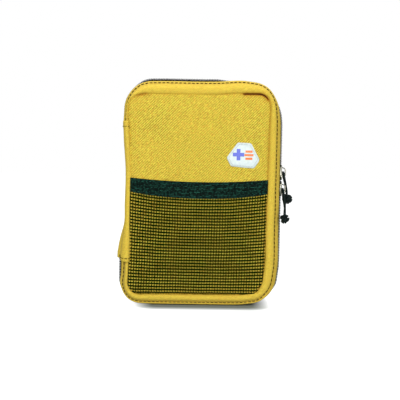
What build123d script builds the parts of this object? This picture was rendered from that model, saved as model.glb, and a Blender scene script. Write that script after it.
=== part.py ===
from build123d import *
import math
import os

# First aid kit: a soft clamshell pouch that stands upright and opens like a book.
# Millimetres. +Z is up, the front faces -Y and the zipper's sliders are at +X.
# Everything is drawn about the middle of the case, at its foot, and moved once, on export, so that
# the origin lies under the middle of the whole pouch.

# ---- the case ----
WIDTH = 164.0  # across the border's hems
HEIGHT = 230.0
HALF_DEPTH = 26.0  # from the closing plane to the outside of either panel
TOP_RADIUS = 28.0
BOTTOM_RADIUS = 24.0
CLOSING_GAP = 0.4  # each half stops this far from the closing plane
CANVAS = 1.8  # padded canvas, with its binding
LEAST_RADIUS = 4.0  # the tightest corner that the canvas turns

# ---- the border strip, by depth from the closing plane and inset from the hem's outline ----
SEAM_INSET = 11.0
TOP_SEAM_DROP = 1.5  # the top seam lies this much lower than the side seams lie inwards
SHOULDER_DEPTH = 22.5
SHOULDER_INSET = 6.6
STITCH_DEPTH = 12.0  # where the lip beside the zipper starts to flare
STITCH_INSET = 3.8
HEM_DEPTH = 7.0
SHOULDER_SAG = 1.0  # how much lower the strip's shoulder hangs under the case than beside it

# ---- the zipper ----
TAPE = 0.7
TAPE_RISE = 1.7  # depth over which the tape climbs out from under the hem
CHAIN_WIDTH = 2.6  # each half of the chain
CHAIN_PROUD = 1.0  # how far the chain stands out beyond the hems
CHAIN_THICK = 2.7
CHAIN_END_GAP = 0.3  # from the chain's ends to the spine's hems
FOOT_LIFT = 1.5  # the zipper is pressed in this far where the case stands on its hems

# ---- the spine fabric at the left ----
SPINE_LOW = 45.0
SPINE_HIGH = 188.0
SPINE_HEM = 8.0  # how far it laps over the ends of the border
SPINE_EASE = 27.0  # length over which it sinks inwards
SPINE_SINK = 7.9
SPINE_FALL = (1.6, 0.9, 0.3, 0.0)  # how much further in it lies than that, from shoulder to fold
SPINE_THICK = 1.2
HINGE_CLEAR = 0.4  # from the spine's outside to the line the case folds about

# ---- the front net pocket ----
BAND_TOP = 128.0
BAND_HEIGHT = 16.0
BAND_THICK = 1.3
NET_THICK = 0.8
POCKET_STEPS = [(0.0, 0.6), (4.6, 9.0), (7.0, 23.0)]  # standing out from the panel, inset from the seam

# ---- the patch ----
PATCH_THICK = 1.4
PATCH_CENTRE = (41.5, 155.5)
PATCH_OUTLINE = [(-5.8, 12.6), (7.9, 12.0), (17.3, -5.0), (11.9, -13.7), (-12.0, -11.9), (-16.7, -3.2)]
PATCH_CORNER = 1.5

# ---- the sliders ----
MEETING_HEIGHT = 128.8  # where the sliders' noses meet
NOSE_GAP = 1.2
SLIDER_LENGTH = 15.5
SLIDER_HALF_WIDTH = 5.2  # at the shoulders
TAIL_HALF_WIDTH = 4.1
SHOULDER_AT = 5.6  # from the nose to where the shoulders begin to narrow
TAIL_AT = 9.4  # from the nose to where the tail's straight sides begin
PLATE = 1.3
SLIDER_CLEAR = 0.3
PLATE_EDGE = 0.35  # chamfer round the outer plate's face
TAIL_CORNER = 1.2
NOSE_NOTCH = 1.2  # depth of the notch in the nose
NOTCH_HALF_WIDTH = 1.6
SHOULDER_CUT = (1.4, 2.4)  # across and along, where the nose's corners are cut away
FLANGE = 0.8  # thickness of the guides that run beside the chain, on the back side only
GUIDE_CLEAR = 0.1
GUIDE_END = 1.6  # the guides stop this far from the nose and the tail
BLADE_THICK = 0.5
BLADE_LENGTH = 6.0
BLADE_START = 1.4  # from the nose
CROWN_START = 2.2  # from the nose
CROWN_LENGTH = 11.8
CROWN_HEIGHT = 4.4
CROWN_WIDTH = 3.0
CROWN_THICK = 1.1
CROWN_FOOT = 1.3  # either foot, along the plate
CROWN_SLOPE = 1.6  # how far either foot of the crown spreads
CROWN_ROUND = 1.6
WINDOW_ROUND = 0.8

# ---- the pulls ----
CORD = 2.4
CORD_CLEAR = 0.3
CORD_SIDES = 8  # flat sides that stand for the cord's round section
KNOT_SIDES = 12
WIDEST_BEND = 12.0
BEND_SHARE = 0.45  # of the shorter run beside a bend, which the bend may use
UPPER_KNOT = (92.1, 10.2, 109.6)
KNOT_RADIUS = 5.0
KNOT_FLAT = 3.8  # from the knot's middle to the flat where the cord's ends enter
KNOT_EDGE = 1.8
LOWER_KNOT = (86.8, -18.05, 90.4)
LOWER_KNOT_RADIUS = 4.2
LOWER_KNOT_FLAT = 3.0
LOWER_KNOT_EDGE = 1.4

# ---- the pockets inside: width, height, depth ----
LINING = 0.7
POCKET_WALL = 0.8
BACK_POCKET = (118.0, 72.0, 15.0)
BACK_POCKET_FOOT = 20.0
COVER_POCKET = (112.0, 118.0, 9.0)
COVER_POCKET_FOOT = 24.0
POCKET_CORNER = 3.2
BINDING_WIDTH = 9.0
BINDING_THICK = 0.6

# ---- the strap and what it holds ----
STRAP_WIDTH = 22.0
STRAP_HEIGHT = 147.0  # to the strap's middle
STRAP_THICK = 1.2
STRAP_REACH = 0.4025 * WIDTH  # from the case's middle to either end of the strap
ITEM_CLEAR = 0.3
ROLL_EDGE = 0.6
LARGE_ROLL = (-0.256 * WIDTH, 14.0, 72.0)  # place across, radius, height
SMALL_ROLL = (-0.055 * WIDTH, 11.5, 60.0)
TAPE_ROLL = (0.143 * WIDTH, 15.0, 25.0)
TAPE_CORE_RADIUS = 10.5
TAPE_CORE_WALL = 1.2
TWEEZER_PLACE = 0.317 * WIDTH
TWEEZER_LENGTH = 92.0
BELOW_SHARE = 0.55  # of the tweezers' length, below the strap's middle
TWEEZER_THICK = 1.1  # the metal
TIP_HALF_WIDTH = 0.4  # across both arms, here and at the neck, the belly and the head
NECK_HALF_WIDTH = 2.2
BELLY_HALF_WIDTH = 5.5
HEAD_HALF_WIDTH = 1.6
NECK_SHARE = 0.25  # of the length, from the tips to each of those
BELLY_SHARE = 0.6
GAP_END_SHARE = 0.88
HEAD_SHARE = 0.94
TIP_HALF_GAP = 0.1  # between the arms, at the tips and where they join
HEAD_HALF_GAP = 0.5
TWEEZER_DEPTH = 7.0
TIP_DEPTH = 3.0
TAPER_SHARE = 0.5  # of the length, over which the arms narrow to the tips' depth

# ---- what the pockets hold: width, height, thickness ----
DRESSING_PACK = (54.0, 62.0, 12.0)
RESCUE_BLANKET = (54.0, 56.0, 11.0)
GLOVE_PACK = (48.0, 92.0, 6.4)
WIPE_PACK = (50.0, 62.0, 2.6)
PLASTER_PACK = (50.0, 78.0, 3.0)
PACK_EDGE = 2.4
PACK_MARGIN = 1.0  # from a pocket's wall to the pack beside it


# ================================================================ outlines and shells
def outline(depth, inset, lift=0.0, drop=0.0):
    """The case's rounded outline in the plane at this depth in front of the closing plane."""
    wide = WIDTH - 2 * inset
    tall = HEIGHT - 2 * inset - lift - drop
    shape = Pos(0, inset + lift + tall / 2) * Rectangle(wide, tall)
    top = shape.vertices().group_by(Axis.Y)[-1]
    shape = fillet(top, max(TOP_RADIUS - inset, LEAST_RADIUS))
    foot = shape.vertices().group_by(Axis.Y)[0]
    shape = fillet(foot, max(BOTTOM_RADIUS - inset, LEAST_RADIUS))
    return Plane.XZ.offset(depth) * shape


def solid_through(sections):
    """A straight-sided solid through outlines, each given as (depth, inset, lift, drop)."""
    return loft([outline(*section).face() for section in sections], ruled=True)


def block(x, y, z):
    """A box between two limits along each axis."""
    size = [high - low for low, high in (x, y, z)]
    middle = [(low + high) / 2 for low, high in (x, y, z)]
    return Pos(*middle) * Box(*size)


def spine_window(overlap):
    """The stretch of the left side that the spine closes, less its lap over the border's ends."""
    return block((-WIDTH, 0.0), (-WIDTH, WIDTH), (SPINE_LOW + overlap, SPINE_HIGH - overlap))


# ================================================================ one half of the case
def panel():
    face = outline(HALF_DEPTH, SEAM_INSET, 0.0, TOP_SEAM_DROP)
    return extrude(face, -CANVAS)


def border_sections(under=0.0):
    """The strip's outlines from the seam to the hem, moved inwards by the thickness under it."""
    return [
        (HALF_DEPTH - under, SEAM_INSET, 0.0, TOP_SEAM_DROP),
        (SHOULDER_DEPTH - under / 2, SHOULDER_INSET + under, -SHOULDER_SAG),
        (STITCH_DEPTH, STITCH_INSET + under, -STITCH_INSET),
        (HEM_DEPTH, under),
    ]


def border():
    """The strip from the panel's seam, round the shoulder, to the lip beside the zipper."""
    shell = solid_through(border_sections()) - solid_through(border_sections(CANVAS))
    return shell - panel() - spine_window(SPINE_HEM)


def zip_tape():
    """Woven tape that lies under the lip and climbs out to the level of the chain."""
    steps = border_sections(CANVAS)[-2:]
    steps += [
        (HEM_DEPTH - TAPE_RISE, 0.0, FOOT_LIFT),
        (CLOSING_GAP + CHAIN_WIDTH, 0.0, FOOT_LIFT),
    ]
    inner = [(depth, inset + TAPE, *lift) for depth, inset, *lift in steps]
    return solid_through(steps) - solid_through(inner) - spine_window(SPINE_HEM)


def zip_chain():
    """One half of the zipper's chain, a closed rail of coil that stops at the spine's hems."""
    outside = outline(CLOSING_GAP, -CHAIN_PROUD, FOOT_LIFT)
    inside = outline(CLOSING_GAP, CHAIN_THICK - CHAIN_PROUD, FOOT_LIFT)
    rail = extrude(outside - inside, CHAIN_WIDTH)
    return rail - spine_window(-CHAIN_END_GAP)


def spine_half():
    """Half of the spine fabric: hemmed over the border at both ends and sunk inwards between."""
    depths = [HALF_DEPTH, SHOULDER_DEPTH, STITCH_DEPTH, HEM_DEPTH, CLOSING_GAP]
    at_hem = [SEAM_INSET, SHOULDER_INSET, STITCH_INSET, 0.0, 0.0]
    sunk = [SEAM_INSET] + [max(inset, SPINE_SINK) + ease for inset, ease in zip(at_hem[1:], SPINE_FALL)]

    def slice_at(height, insets):
        inner = [(-WIDTH / 2 + inset, -depth) for inset, depth in zip(insets, depths)]
        outer = [(x - SPINE_THICK, y) for x, y in reversed(inner)]
        return (Pos(0, 0, height) * make_face(Polyline(*inner, *outer, close=True))).face()

    heights = [SPINE_LOW, SPINE_LOW + SPINE_HEM, SPINE_LOW + SPINE_HEM + SPINE_EASE]
    heights += [SPINE_HIGH - SPINE_HEM - SPINE_EASE, SPINE_HIGH - SPINE_HEM, SPINE_HIGH]
    shapes = [at_hem, at_hem, sunk, sunk, at_hem, at_hem]
    return loft([slice_at(h, s) for h, s in zip(heights, shapes)], ruled=True)


def lining():
    """Thin inner lining that lies against the panel."""
    face = outline(HALF_DEPTH - CANVAS, SEAM_INSET + CANVAS, 0.0, TOP_SEAM_DROP)
    return extrude(face, -LINING)


def to_back(shape):
    """The same piece on the back half of the case."""
    return mirror(shape, Plane.XZ)


# ================================================================ the front of the cover
def pocket_form(grow):
    """The bulged form that the net pocket follows, over the whole panel."""
    sections = []
    for out, inset in POCKET_STEPS:
        depth = HALF_DEPTH + max(out - grow, 0.0)
        sections.append((depth, SEAM_INSET + inset + grow, 0.0, TOP_SEAM_DROP))
    return solid_through(sections)


def slab(low, high):
    """Everything between two heights."""
    return block((-WIDTH, WIDTH), (-WIDTH, WIDTH), (low, high))


def net_pocket():
    net = pocket_form(0.0) - pocket_form(NET_THICK)
    return net & slab(0.0, BAND_TOP - BAND_HEIGHT)


def pocket_band():
    """Elastic band along the pocket's mouth, carrying the net's cross-section upwards."""
    band = pocket_form(0.0) - pocket_form(BAND_THICK)
    return band & slab(BAND_TOP - BAND_HEIGHT, BAND_TOP)


def patch():
    corners = [(PATCH_CENTRE[0] + x, PATCH_CENTRE[1] + z) for x, z in PATCH_OUTLINE]
    shape = make_face(Polyline(*corners, close=True))
    shape = fillet(shape.vertices(), PATCH_CORNER)
    return extrude(Plane.XZ.offset(HALF_DEPTH) * shape, PATCH_THICK)


# ================================================================ the sliders
CHAIN_OUTER = WIDTH / 2 + CHAIN_PROUD
CHAIN_INNER = CHAIN_OUTER - CHAIN_THICK
TAPE_OUTER = WIDTH / 2
PLATE_OUTER_LOW = CHAIN_OUTER + SLIDER_CLEAR
PLATE_OUTER_HIGH = PLATE_OUTER_LOW + PLATE
PLATE_INNER_HIGH = CHAIN_INNER - SLIDER_CLEAR
PLATE_INNER_LOW = PLATE_INNER_HIGH - PLATE
NOSE_HEIGHT = MEETING_HEIGHT - NOSE_GAP / 2
WINDOW_MIDDLE = CROWN_START + CROWN_LENGTH / 2  # where the cord passes, from the nose


def slider_outline():
    """A plate seen from outside, its nose at the origin pointing up."""
    half = [
        (0.0, -NOSE_NOTCH),
        (NOTCH_HALF_WIDTH, 0.0),
        (SLIDER_HALF_WIDTH - SHOULDER_CUT[0], 0.0),
        (SLIDER_HALF_WIDTH, -SHOULDER_CUT[1]),
        (SLIDER_HALF_WIDTH, -SHOULDER_AT),
        (TAIL_HALF_WIDTH, -TAIL_AT),
        (TAIL_HALF_WIDTH, -SLIDER_LENGTH),
    ]
    mirrored = [(-x, z) for x, z in reversed(half[1:])]
    shape = make_face(Polyline(*half, *mirrored, close=True))
    tail = shape.vertices().group_by(Axis.Y)[0]
    return fillet(tail, TAIL_CORNER)


def on_side(x, shape):
    """Lift a shape drawn as (y, z) onto the plane at this x, with z counted from the nose."""
    return Pos(x, 0, NOSE_HEIGHT) * (Plane.YZ * shape)


def crown():
    """The arch on the outer plate that the pull cord passes under."""
    low = -(CROWN_START + CROWN_LENGTH)
    high = -CROWN_START
    top = CROWN_HEIGHT
    rise = CROWN_SLOPE
    arch = make_face(Polyline((0, low), (top, low + rise), (top, high - rise), (0, high), close=True))
    arch = fillet(arch.vertices().group_by(Axis.X)[-1], CROWN_ROUND)
    under = top - CROWN_THICK
    inset = rise + CROWN_THICK
    inner = make_face(Polyline(
        (0, low + CROWN_FOOT), (under, low + inset), (under, high - inset), (0, high - CROWN_FOOT),
        close=True,
    ))
    inner = fillet(inner.vertices().group_by(Axis.X)[-1], WINDOW_ROUND)
    profile = Plane.XZ * (arch - inner)
    strap = extrude(profile, CROWN_WIDTH / 2, both=True)
    return Pos(PLATE_OUTER_HIGH, 0, NOSE_HEIGHT) * strap


def slider():
    """The lower slider: two plates, the blade between them, guides on the back side, and the crown."""
    plate = slider_outline()
    outer = extrude(on_side(PLATE_OUTER_LOW, plate), PLATE)
    outer = chamfer(outer.faces().sort_by(Axis.X)[-1].edges(), PLATE_EDGE)
    inner = extrude(on_side(PLATE_INNER_LOW, plate), PLATE)
    rim = plate - offset(plate, amount=-FLANGE, kind=Kind.INTERSECTION)
    beside_chain = CLOSING_GAP + CHAIN_WIDTH + GUIDE_CLEAR
    guide_zone = Pos((beside_chain + SLIDER_HALF_WIDTH) / 2, -SLIDER_LENGTH / 2) * Rectangle(
        SLIDER_HALF_WIDTH - beside_chain, SLIDER_LENGTH - 2 * GUIDE_END
    )
    rim = rim & guide_zone
    tape_high = TAPE_OUTER + SLIDER_CLEAR
    tape_low = TAPE_OUTER - TAPE - SLIDER_CLEAR
    outer_guide = extrude(on_side(tape_high, rim), PLATE_OUTER_LOW - tape_high)
    inner_guide = extrude(on_side(PLATE_INNER_HIGH, rim), tape_low - PLATE_INNER_HIGH)
    blade = block(
        (PLATE_INNER_HIGH, PLATE_OUTER_LOW),
        (-BLADE_THICK / 2, BLADE_THICK / 2),
        (NOSE_HEIGHT - BLADE_START - BLADE_LENGTH, NOSE_HEIGHT - BLADE_START),
    )
    return outer + inner + outer_guide + inner_guide + blade + crown()


def to_upper(shape):
    """The same piece on the upper slider, which faces the lower one nose to nose."""
    return mirror(shape, Plane.XY.offset(MEETING_HEIGHT))


# ================================================================ the pulls
CORD_X = PLATE_OUTER_HIGH + CORD_CLEAR + CORD / 2
STRAND = CROWN_WIDTH / 2 + CORD_CLEAR + CORD / 2  # from the slider's middle to either strand
LOWER_WINDOW = NOSE_HEIGHT - WINDOW_MIDDLE
UPPER_WINDOW = 2 * MEETING_HEIGHT - LOWER_WINDOW

UPPER_ROUTE = [
    (91.4, 8.6, UPPER_KNOT[2] + KNOT_FLAT),
    (91.4, 8.6, 116.6),
    (90.1, 6.0, 122.8),
    (87.5, -2.9, 131.0),
    (CORD_X, -STRAND, UPPER_WINDOW),
    (CORD_X, STRAND, UPPER_WINDOW),
    (87.3, 3.3, 131.2),
    (90.5, 9.2, 122.0),
    (91.8, 11.6, 116.6),
    (91.8, 11.6, UPPER_KNOT[2] + KNOT_FLAT),
]
LOWER_ROUTE = [
    (86.4, -19.4, LOWER_KNOT[2] + LOWER_KNOT_FLAT),
    (86.4, -19.4, 96.4),
    (87.6, -12.8, 103.5),
    (87.3, -3.4, 112.2),
    (CORD_X, -STRAND, LOWER_WINDOW),
    (CORD_X, STRAND, LOWER_WINDOW),
    (86.9, 3.0, 111.8),
    (87.9, -8.6, 101.8),
    (87.2, -16.7, 96.4),
    (87.2, -16.7, LOWER_KNOT[2] + LOWER_KNOT_FLAT),
]


def bend_radii(route):
    """The radius of each bend, as large as its two runs allow, up to a limit."""
    found = []
    for before, at, after in zip(route, route[1:], route[2:]):
        run_in = Vector(*at) - Vector(*before)
        run_out = Vector(*after) - Vector(*at)
        half_turn = math.radians(run_in.get_angle(run_out)) / 2
        shorter = min(run_in.length, run_out.length)
        found.append(min(WIDEST_BEND, BEND_SHARE * shorter / math.tan(half_turn)))
    return found


def pull_cord(name, route):
    radii = bend_radii(route)
    line = FilletPolyline(*route, radius=radii)
    start = Plane(origin=line @ 0, z_dir=line % 0)
    section = RegularPolygon(CORD / 2, CORD_SIDES)
    tube = sweep(start * section, path=line)
    expected = section.area * line.length
    print(name, "length", round(line.length, 2), "tightest bend", round(min(radii), 2),
          "volume ratio", round(tube.volume / expected, 4))
    return tube


def knot(centre, radius, flat, edge):
    """The plain outer form of a knot, flat where the cord's ends enter it."""
    form = extrude(RegularPolygon(radius, KNOT_SIDES), flat, both=True)
    rims = form.edges().group_by(Axis.Z)
    return Pos(*centre) * chamfer(rims[0] + rims[-1], edge)


# ================================================================ the inside
LINING_DEPTH = HALF_DEPTH - CANVAS - LINING  # from the closing plane to the lining's face


def inner_pocket(size, foot):
    """An open-topped pocket sewn to the cover's lining by the edges of its walls."""
    wide, tall, deep = size
    on_lining = Plane.XZ.offset(LINING_DEPTH)
    face = Pos(0, foot + tall / 2) * Rectangle(wide, tall)
    face = fillet(face.vertices().group_by(Axis.Y)[0], POCKET_CORNER)
    hollow = Pos(0, foot + tall / 2 + POCKET_WALL) * Rectangle(wide - 2 * POCKET_WALL, tall)
    hollow = fillet(hollow.vertices().group_by(Axis.Y)[0], POCKET_CORNER - POCKET_WALL)
    return extrude(on_lining * face, -deep) - extrude(on_lining * hollow, POCKET_WALL - deep)


def pocket_binding(size, foot):
    """Elastic binding folded over the free edge of an inner pocket's front wall."""
    wide, tall, deep = size
    half = wide / 2 - POCKET_WALL
    near = LINING_DEPTH - deep
    far = near + POCKET_WALL
    top = foot + tall
    fold = block(
        (-half, half),
        (-far - BINDING_THICK, -near + BINDING_THICK),
        (top - BINDING_WIDTH, top + BINDING_THICK),
    )
    wall = block((-half, half), (-far, -near), (top - BINDING_WIDTH, top))
    return fold - wall


def packs(size, foot, pocket, places, behind=0.0):
    """Flat packs that stand on a pocket's floor against the cover's lining."""
    wide, tall, thick = size
    floor = foot + POCKET_WALL + ITEM_CLEAR
    back = -LINING_DEPTH + ITEM_CLEAR + behind
    found = []
    for left in places:
        low = -pocket[0] / 2 + POCKET_WALL + left
        shape = block((low, low + wide), (back, back + thick), (floor, floor + tall))
        found.append(fillet(shape.edges().filter_by(Axis.Y), PACK_EDGE))
    return found


def roll_place(roll):
    """A roll's axis, in the cover's own half, and half its height above the strap's middle."""
    across, radius, tall = roll
    return across, -LINING_DEPTH + ITEM_CLEAR + radius, radius, tall


def round_item(roll):
    across, y, radius, tall = roll_place(roll)
    return Pos(across, y, STRAP_HEIGHT) * Cylinder(radius, tall)


def bandage_roll(roll):
    shape = round_item(roll)
    return chamfer(shape.edges().filter_by(GeomType.CIRCLE), ROLL_EDGE)


def tape_core():
    across, y, _, tall = roll_place(TAPE_ROLL)
    ring = Cylinder(TAPE_CORE_RADIUS, tall) - Cylinder(TAPE_CORE_RADIUS - TAPE_CORE_WALL, tall)
    return Pos(across, y, STRAP_HEIGHT) * ring


def tape_roll():
    across, y, _, tall = roll_place(TAPE_ROLL)
    return round_item(TAPE_ROLL) - Pos(across, y, STRAP_HEIGHT) * Cylinder(TAPE_CORE_RADIUS, tall)


def both_sides(half):
    """A closed outline from the points of its right half."""
    return make_face(Polyline(*half, *[(-x, z) for x, z in reversed(half)], close=True))


def tweezers():
    """Two sprung arms, joined at the head and closing at the tips, lying on their side."""
    length = TWEEZER_LENGTH
    outside = both_sides([
        (TIP_HALF_WIDTH, 0.0),
        (NECK_HALF_WIDTH, NECK_SHARE * length),
        (BELLY_HALF_WIDTH, BELLY_SHARE * length),
        (HEAD_HALF_WIDTH, HEAD_SHARE * length),
        (TIP_HALF_WIDTH, length),
    ])
    gap = both_sides([
        (TIP_HALF_GAP, 0.0),
        (NECK_HALF_WIDTH - TWEEZER_THICK, NECK_SHARE * length),
        (BELLY_HALF_WIDTH - TWEEZER_THICK, BELLY_SHARE * length),
        (HEAD_HALF_GAP, GAP_END_SHARE * length),
    ])
    flat = Plane.XZ.offset(LINING_DEPTH - ITEM_CLEAR)
    blank = extrude(flat * (outside - gap), -TWEEZER_DEPTH)
    side = both_sides([
        (TIP_DEPTH / 2, 0.0),
        (TWEEZER_DEPTH / 2, TAPER_SHARE * length),
        (TWEEZER_DEPTH / 2, length),
    ])
    middle = -LINING_DEPTH + ITEM_CLEAR + TWEEZER_DEPTH / 2
    tapered = Pos(0, middle, 0) * extrude(Plane.YZ * side, BELLY_HALF_WIDTH, both=True)
    return Pos(TWEEZER_PLACE, 0, STRAP_HEIGHT - BELOW_SHARE * length) * (blank & tapered)


def strap_loop(across, y, reach):
    """A loop's outline: half round in front, straight back to the lining."""
    to_lining = y + LINING_DEPTH
    straight = Pos(across, y - to_lining / 2) * Rectangle(2 * reach, to_lining)
    front = Pos(across, y + reach / 2) * Rectangle(2 * reach, reach)
    return straight + (front & Pos(across, y) * Circle(reach))


def elastic_strap():
    """One strap sewn to the lining between loops, each loop drawn round what it holds."""
    held = [roll_place(roll)[:3] for roll in (LARGE_ROLL, SMALL_ROLL, TAPE_ROLL)]
    flat = Pos(0, -LINING_DEPTH + STRAP_THICK / 2) * Rectangle(2 * STRAP_REACH, STRAP_THICK)
    pinch = BELLY_HALF_WIDTH + ITEM_CLEAR
    sleeve = TWEEZER_DEPTH + 2 * ITEM_CLEAR
    middle = -LINING_DEPTH + sleeve / 2
    outside = flat + Pos(TWEEZER_PLACE, middle + STRAP_THICK / 2) * Rectangle(
        2 * (pinch + STRAP_THICK), sleeve + STRAP_THICK
    )
    inside = Pos(TWEEZER_PLACE, middle) * Rectangle(2 * pinch, sleeve)
    for across, y, radius in held:
        outside += strap_loop(across, y, radius + ITEM_CLEAR + STRAP_THICK)
        inside += strap_loop(across, y, radius + ITEM_CLEAR)
    low = Plane.XY.offset(STRAP_HEIGHT - STRAP_WIDTH / 2)
    return extrude(low * (outside - inside), STRAP_WIDTH)


# ================================================================ placing and writing
LEFT_REACH = -WIDTH / 2 - SPINE_THICK
RIGHT_REACH = PLATE_OUTER_HIGH + CROWN_HEIGHT
FRONT_REACH = HALF_DEPTH + POCKET_STEPS[-1][0]
CENTRE = ((LEFT_REACH + RIGHT_REACH) / 2, (HALF_DEPTH - FRONT_REACH) / 2)
PLACE = Pos(-CENTRE[0], -CENTRE[1], 0)
HINGE_LINE = LEFT_REACH - HINGE_CLEAR


def second_item(pocket, pack):
    """How far in from the pocket's wall a pack starts that stands at the pocket's other side."""
    return pocket[0] - 2 * POCKET_WALL - pack[0] - PACK_MARGIN


def write(name, shapes):
    found = shapes if isinstance(shapes, list) else [shapes]
    solids = [PLACE * solid for shape in found for solid in shape.solids()]
    node = solids[0] if len(solids) == 1 else Compound(children=solids)
    export_step(node, f"parts/{name}.step")


def write_all():
    os.makedirs("parts", exist_ok=True)
    write("front_panel", panel())
    write("front_border", border())
    write("front_zip_tape", zip_tape())
    write("front_zip_chain", zip_chain())
    write("spine_front", spine_half())
    write("front_lining", lining())
    write("back_panel", to_back(panel()))
    write("back_border", to_back(border()))
    write("back_zip_tape", to_back(zip_tape()))
    write("back_zip_chain", to_back(zip_chain()))
    write("spine_back", to_back(spine_half()))
    write("back_lining", to_back(lining()))

    write("net_pocket", net_pocket())
    write("pocket_band", pocket_band())
    write("patch", patch())

    write("lower_slider", slider())
    write("upper_slider", to_upper(slider()))
    write("upper_cord", pull_cord("upper_cord", UPPER_ROUTE))
    write("lower_cord", pull_cord("lower_cord", LOWER_ROUTE))
    write("upper_knot", knot(UPPER_KNOT, KNOT_RADIUS, KNOT_FLAT, KNOT_EDGE))
    write("lower_knot", knot(LOWER_KNOT, LOWER_KNOT_RADIUS, LOWER_KNOT_FLAT, LOWER_KNOT_EDGE))

    write("cover_pocket", inner_pocket(COVER_POCKET, COVER_POCKET_FOOT))
    write("cover_pocket_binding", pocket_binding(COVER_POCKET, COVER_POCKET_FOOT))
    write("back_pocket", to_back(inner_pocket(BACK_POCKET, BACK_POCKET_FOOT)))
    write("back_pocket_binding", to_back(pocket_binding(BACK_POCKET, BACK_POCKET_FOOT)))
    right = second_item(COVER_POCKET, WIPE_PACK)
    write("glove_pack", packs(GLOVE_PACK, COVER_POCKET_FOOT, COVER_POCKET, [PACK_MARGIN]))
    write("wipe_packs", packs(WIPE_PACK, COVER_POCKET_FOOT, COVER_POCKET, [right]))
    behind = WIPE_PACK[2] + ITEM_CLEAR
    write("plaster_packs", packs(PLASTER_PACK, COVER_POCKET_FOOT, COVER_POCKET, [right], behind))
    far = second_item(BACK_POCKET, RESCUE_BLANKET)
    dressing = packs(DRESSING_PACK, BACK_POCKET_FOOT, BACK_POCKET, [PACK_MARGIN])
    write("dressing_pack", [to_back(pack) for pack in dressing])
    blanket = packs(RESCUE_BLANKET, BACK_POCKET_FOOT, BACK_POCKET, [far])
    write("rescue_blanket", [to_back(pack) for pack in blanket])

    write("bandage_roll_large", to_back(bandage_roll(LARGE_ROLL)))
    write("bandage_roll_small", to_back(bandage_roll(SMALL_ROLL)))
    write("tape_roll", to_back(tape_roll()))
    write("tape_core", to_back(tape_core()))
    write("tweezers", to_back(tweezers()))
    write("elastic_strap", to_back(elastic_strap()))

    moved = (-CENTRE[0], -CENTRE[1])
    print("hinge line x y", round(HINGE_LINE + moved[0], 3), round(moved[1], 3))
    print("cord window x y", round(CORD_X + moved[0], 3), round(moved[1], 3))
    print("upper and lower window heights", round(UPPER_WINDOW, 3), round(LOWER_WINDOW, 3))


write_all()
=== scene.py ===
import math
from contextlib import contextmanager

import bmesh
import bpy
from mathutils import Matrix, Vector, noise
from mathutils.geometry import delaunay_2d_cdt
from mathutils.kdtree import KDTree


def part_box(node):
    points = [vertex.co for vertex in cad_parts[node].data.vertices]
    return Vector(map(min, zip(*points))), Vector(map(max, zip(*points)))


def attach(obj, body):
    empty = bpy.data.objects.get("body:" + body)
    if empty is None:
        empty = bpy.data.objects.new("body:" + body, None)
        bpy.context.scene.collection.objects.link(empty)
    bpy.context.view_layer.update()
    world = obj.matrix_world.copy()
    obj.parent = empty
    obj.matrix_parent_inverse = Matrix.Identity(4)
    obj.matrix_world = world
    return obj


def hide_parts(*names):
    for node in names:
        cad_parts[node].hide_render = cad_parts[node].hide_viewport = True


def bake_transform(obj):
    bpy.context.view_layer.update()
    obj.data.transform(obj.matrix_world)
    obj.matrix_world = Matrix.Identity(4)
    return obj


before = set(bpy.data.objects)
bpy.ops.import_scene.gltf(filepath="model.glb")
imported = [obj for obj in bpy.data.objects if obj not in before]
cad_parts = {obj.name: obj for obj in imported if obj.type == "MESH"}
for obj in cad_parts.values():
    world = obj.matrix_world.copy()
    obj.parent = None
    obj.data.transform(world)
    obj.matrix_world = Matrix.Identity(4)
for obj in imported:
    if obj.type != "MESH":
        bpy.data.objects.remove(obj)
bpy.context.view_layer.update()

# Looks of the first aid kit. Lengths are millimetres until place() turns them into the frame's metres.
# A point of the case is (x, depth, z): x from the case's middle, depth out from the closing plane.
MM = 0.001
FRONT, BACK = -1, 1
BODY = {FRONT: "cover", BACK: "back_shell"}
WORD = {FRONT: "front", BACK: "back"}


# ================================================================ sizes, from the frame
def node_box(name):
    low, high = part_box(name)
    return [Vector(p) / MM for p in (low, high)]


front_low, front_high = node_box("front_border")
back_low, _ = node_box("back_border")
CENTRE_X = (front_low.x + front_high.x) / 2
CLOSING_Y = (front_high.y + back_low.y) / 2
WIDTH = front_high.x - front_low.x
HEIGHT = front_high.z - front_low.z
HALF_DEPTH = CLOSING_Y - front_low.y

# ---- the case's outline ----
TOP_RADIUS = 28.0
BOTTOM_RADIUS = 24.0
SEAM_INSET = 11.0  # from the hem in to the panel's seam
SLIDERS_MEET = 128.8  # height at which the sliders' noses meet
LEAN = 0.0175  # the soft case leans this much to its right as it rises
LEAN_FADES = (66.0, 80.0)  # the lean fades out between these, as the zipper beside the sliders stays straight
CORNER_PUSH = {  # how far the weight presses each corner inwards, at the hem and at the panel's seam
    "low_left": (0.6, -1.0),
    "low_right": (3.6, 3.4),
    "high_right": (4.0, -0.6),
    "high_left": (0.8, 0.0),
}
PUSH_REACH = 40.0  # how far along the rim that is felt
SEAM_SHIFT = (2.6, 1.5)  # how much further in the panel's seam lies at the right and the top
TOP_RISE = 1.8  # how much higher the top lies towards the right

# ---- the spine ----
SPINE_LOW = 45.0  # height of its lower end
SPINE_HIGH = 188.0

THICKNESS = {  # of each cloth
    "strip": 0.9, "zip_tape": 0.6, "panel": 1.4, "spine": 1.0, "band": 1.0,
    "patch": 1.1, "lining": 0.4, "binding": 0.35, "strap": 0.8,
}


def place(x, depth, z, side):
    """A point of the case in the frame, in metres."""
    leaned = CENTRE_X + x + LEAN * (z - SLIDERS_MEET) * (1 - smooth(x, *LEAN_FADES))
    return Vector((leaned, CLOSING_Y + side * depth, z)) * MM


def smooth(value, low=0.0, high=1.0):
    t = min(1.0, max(0.0, (value - low) / (high - low)))
    return t * t * (3 - 2 * t)


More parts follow.
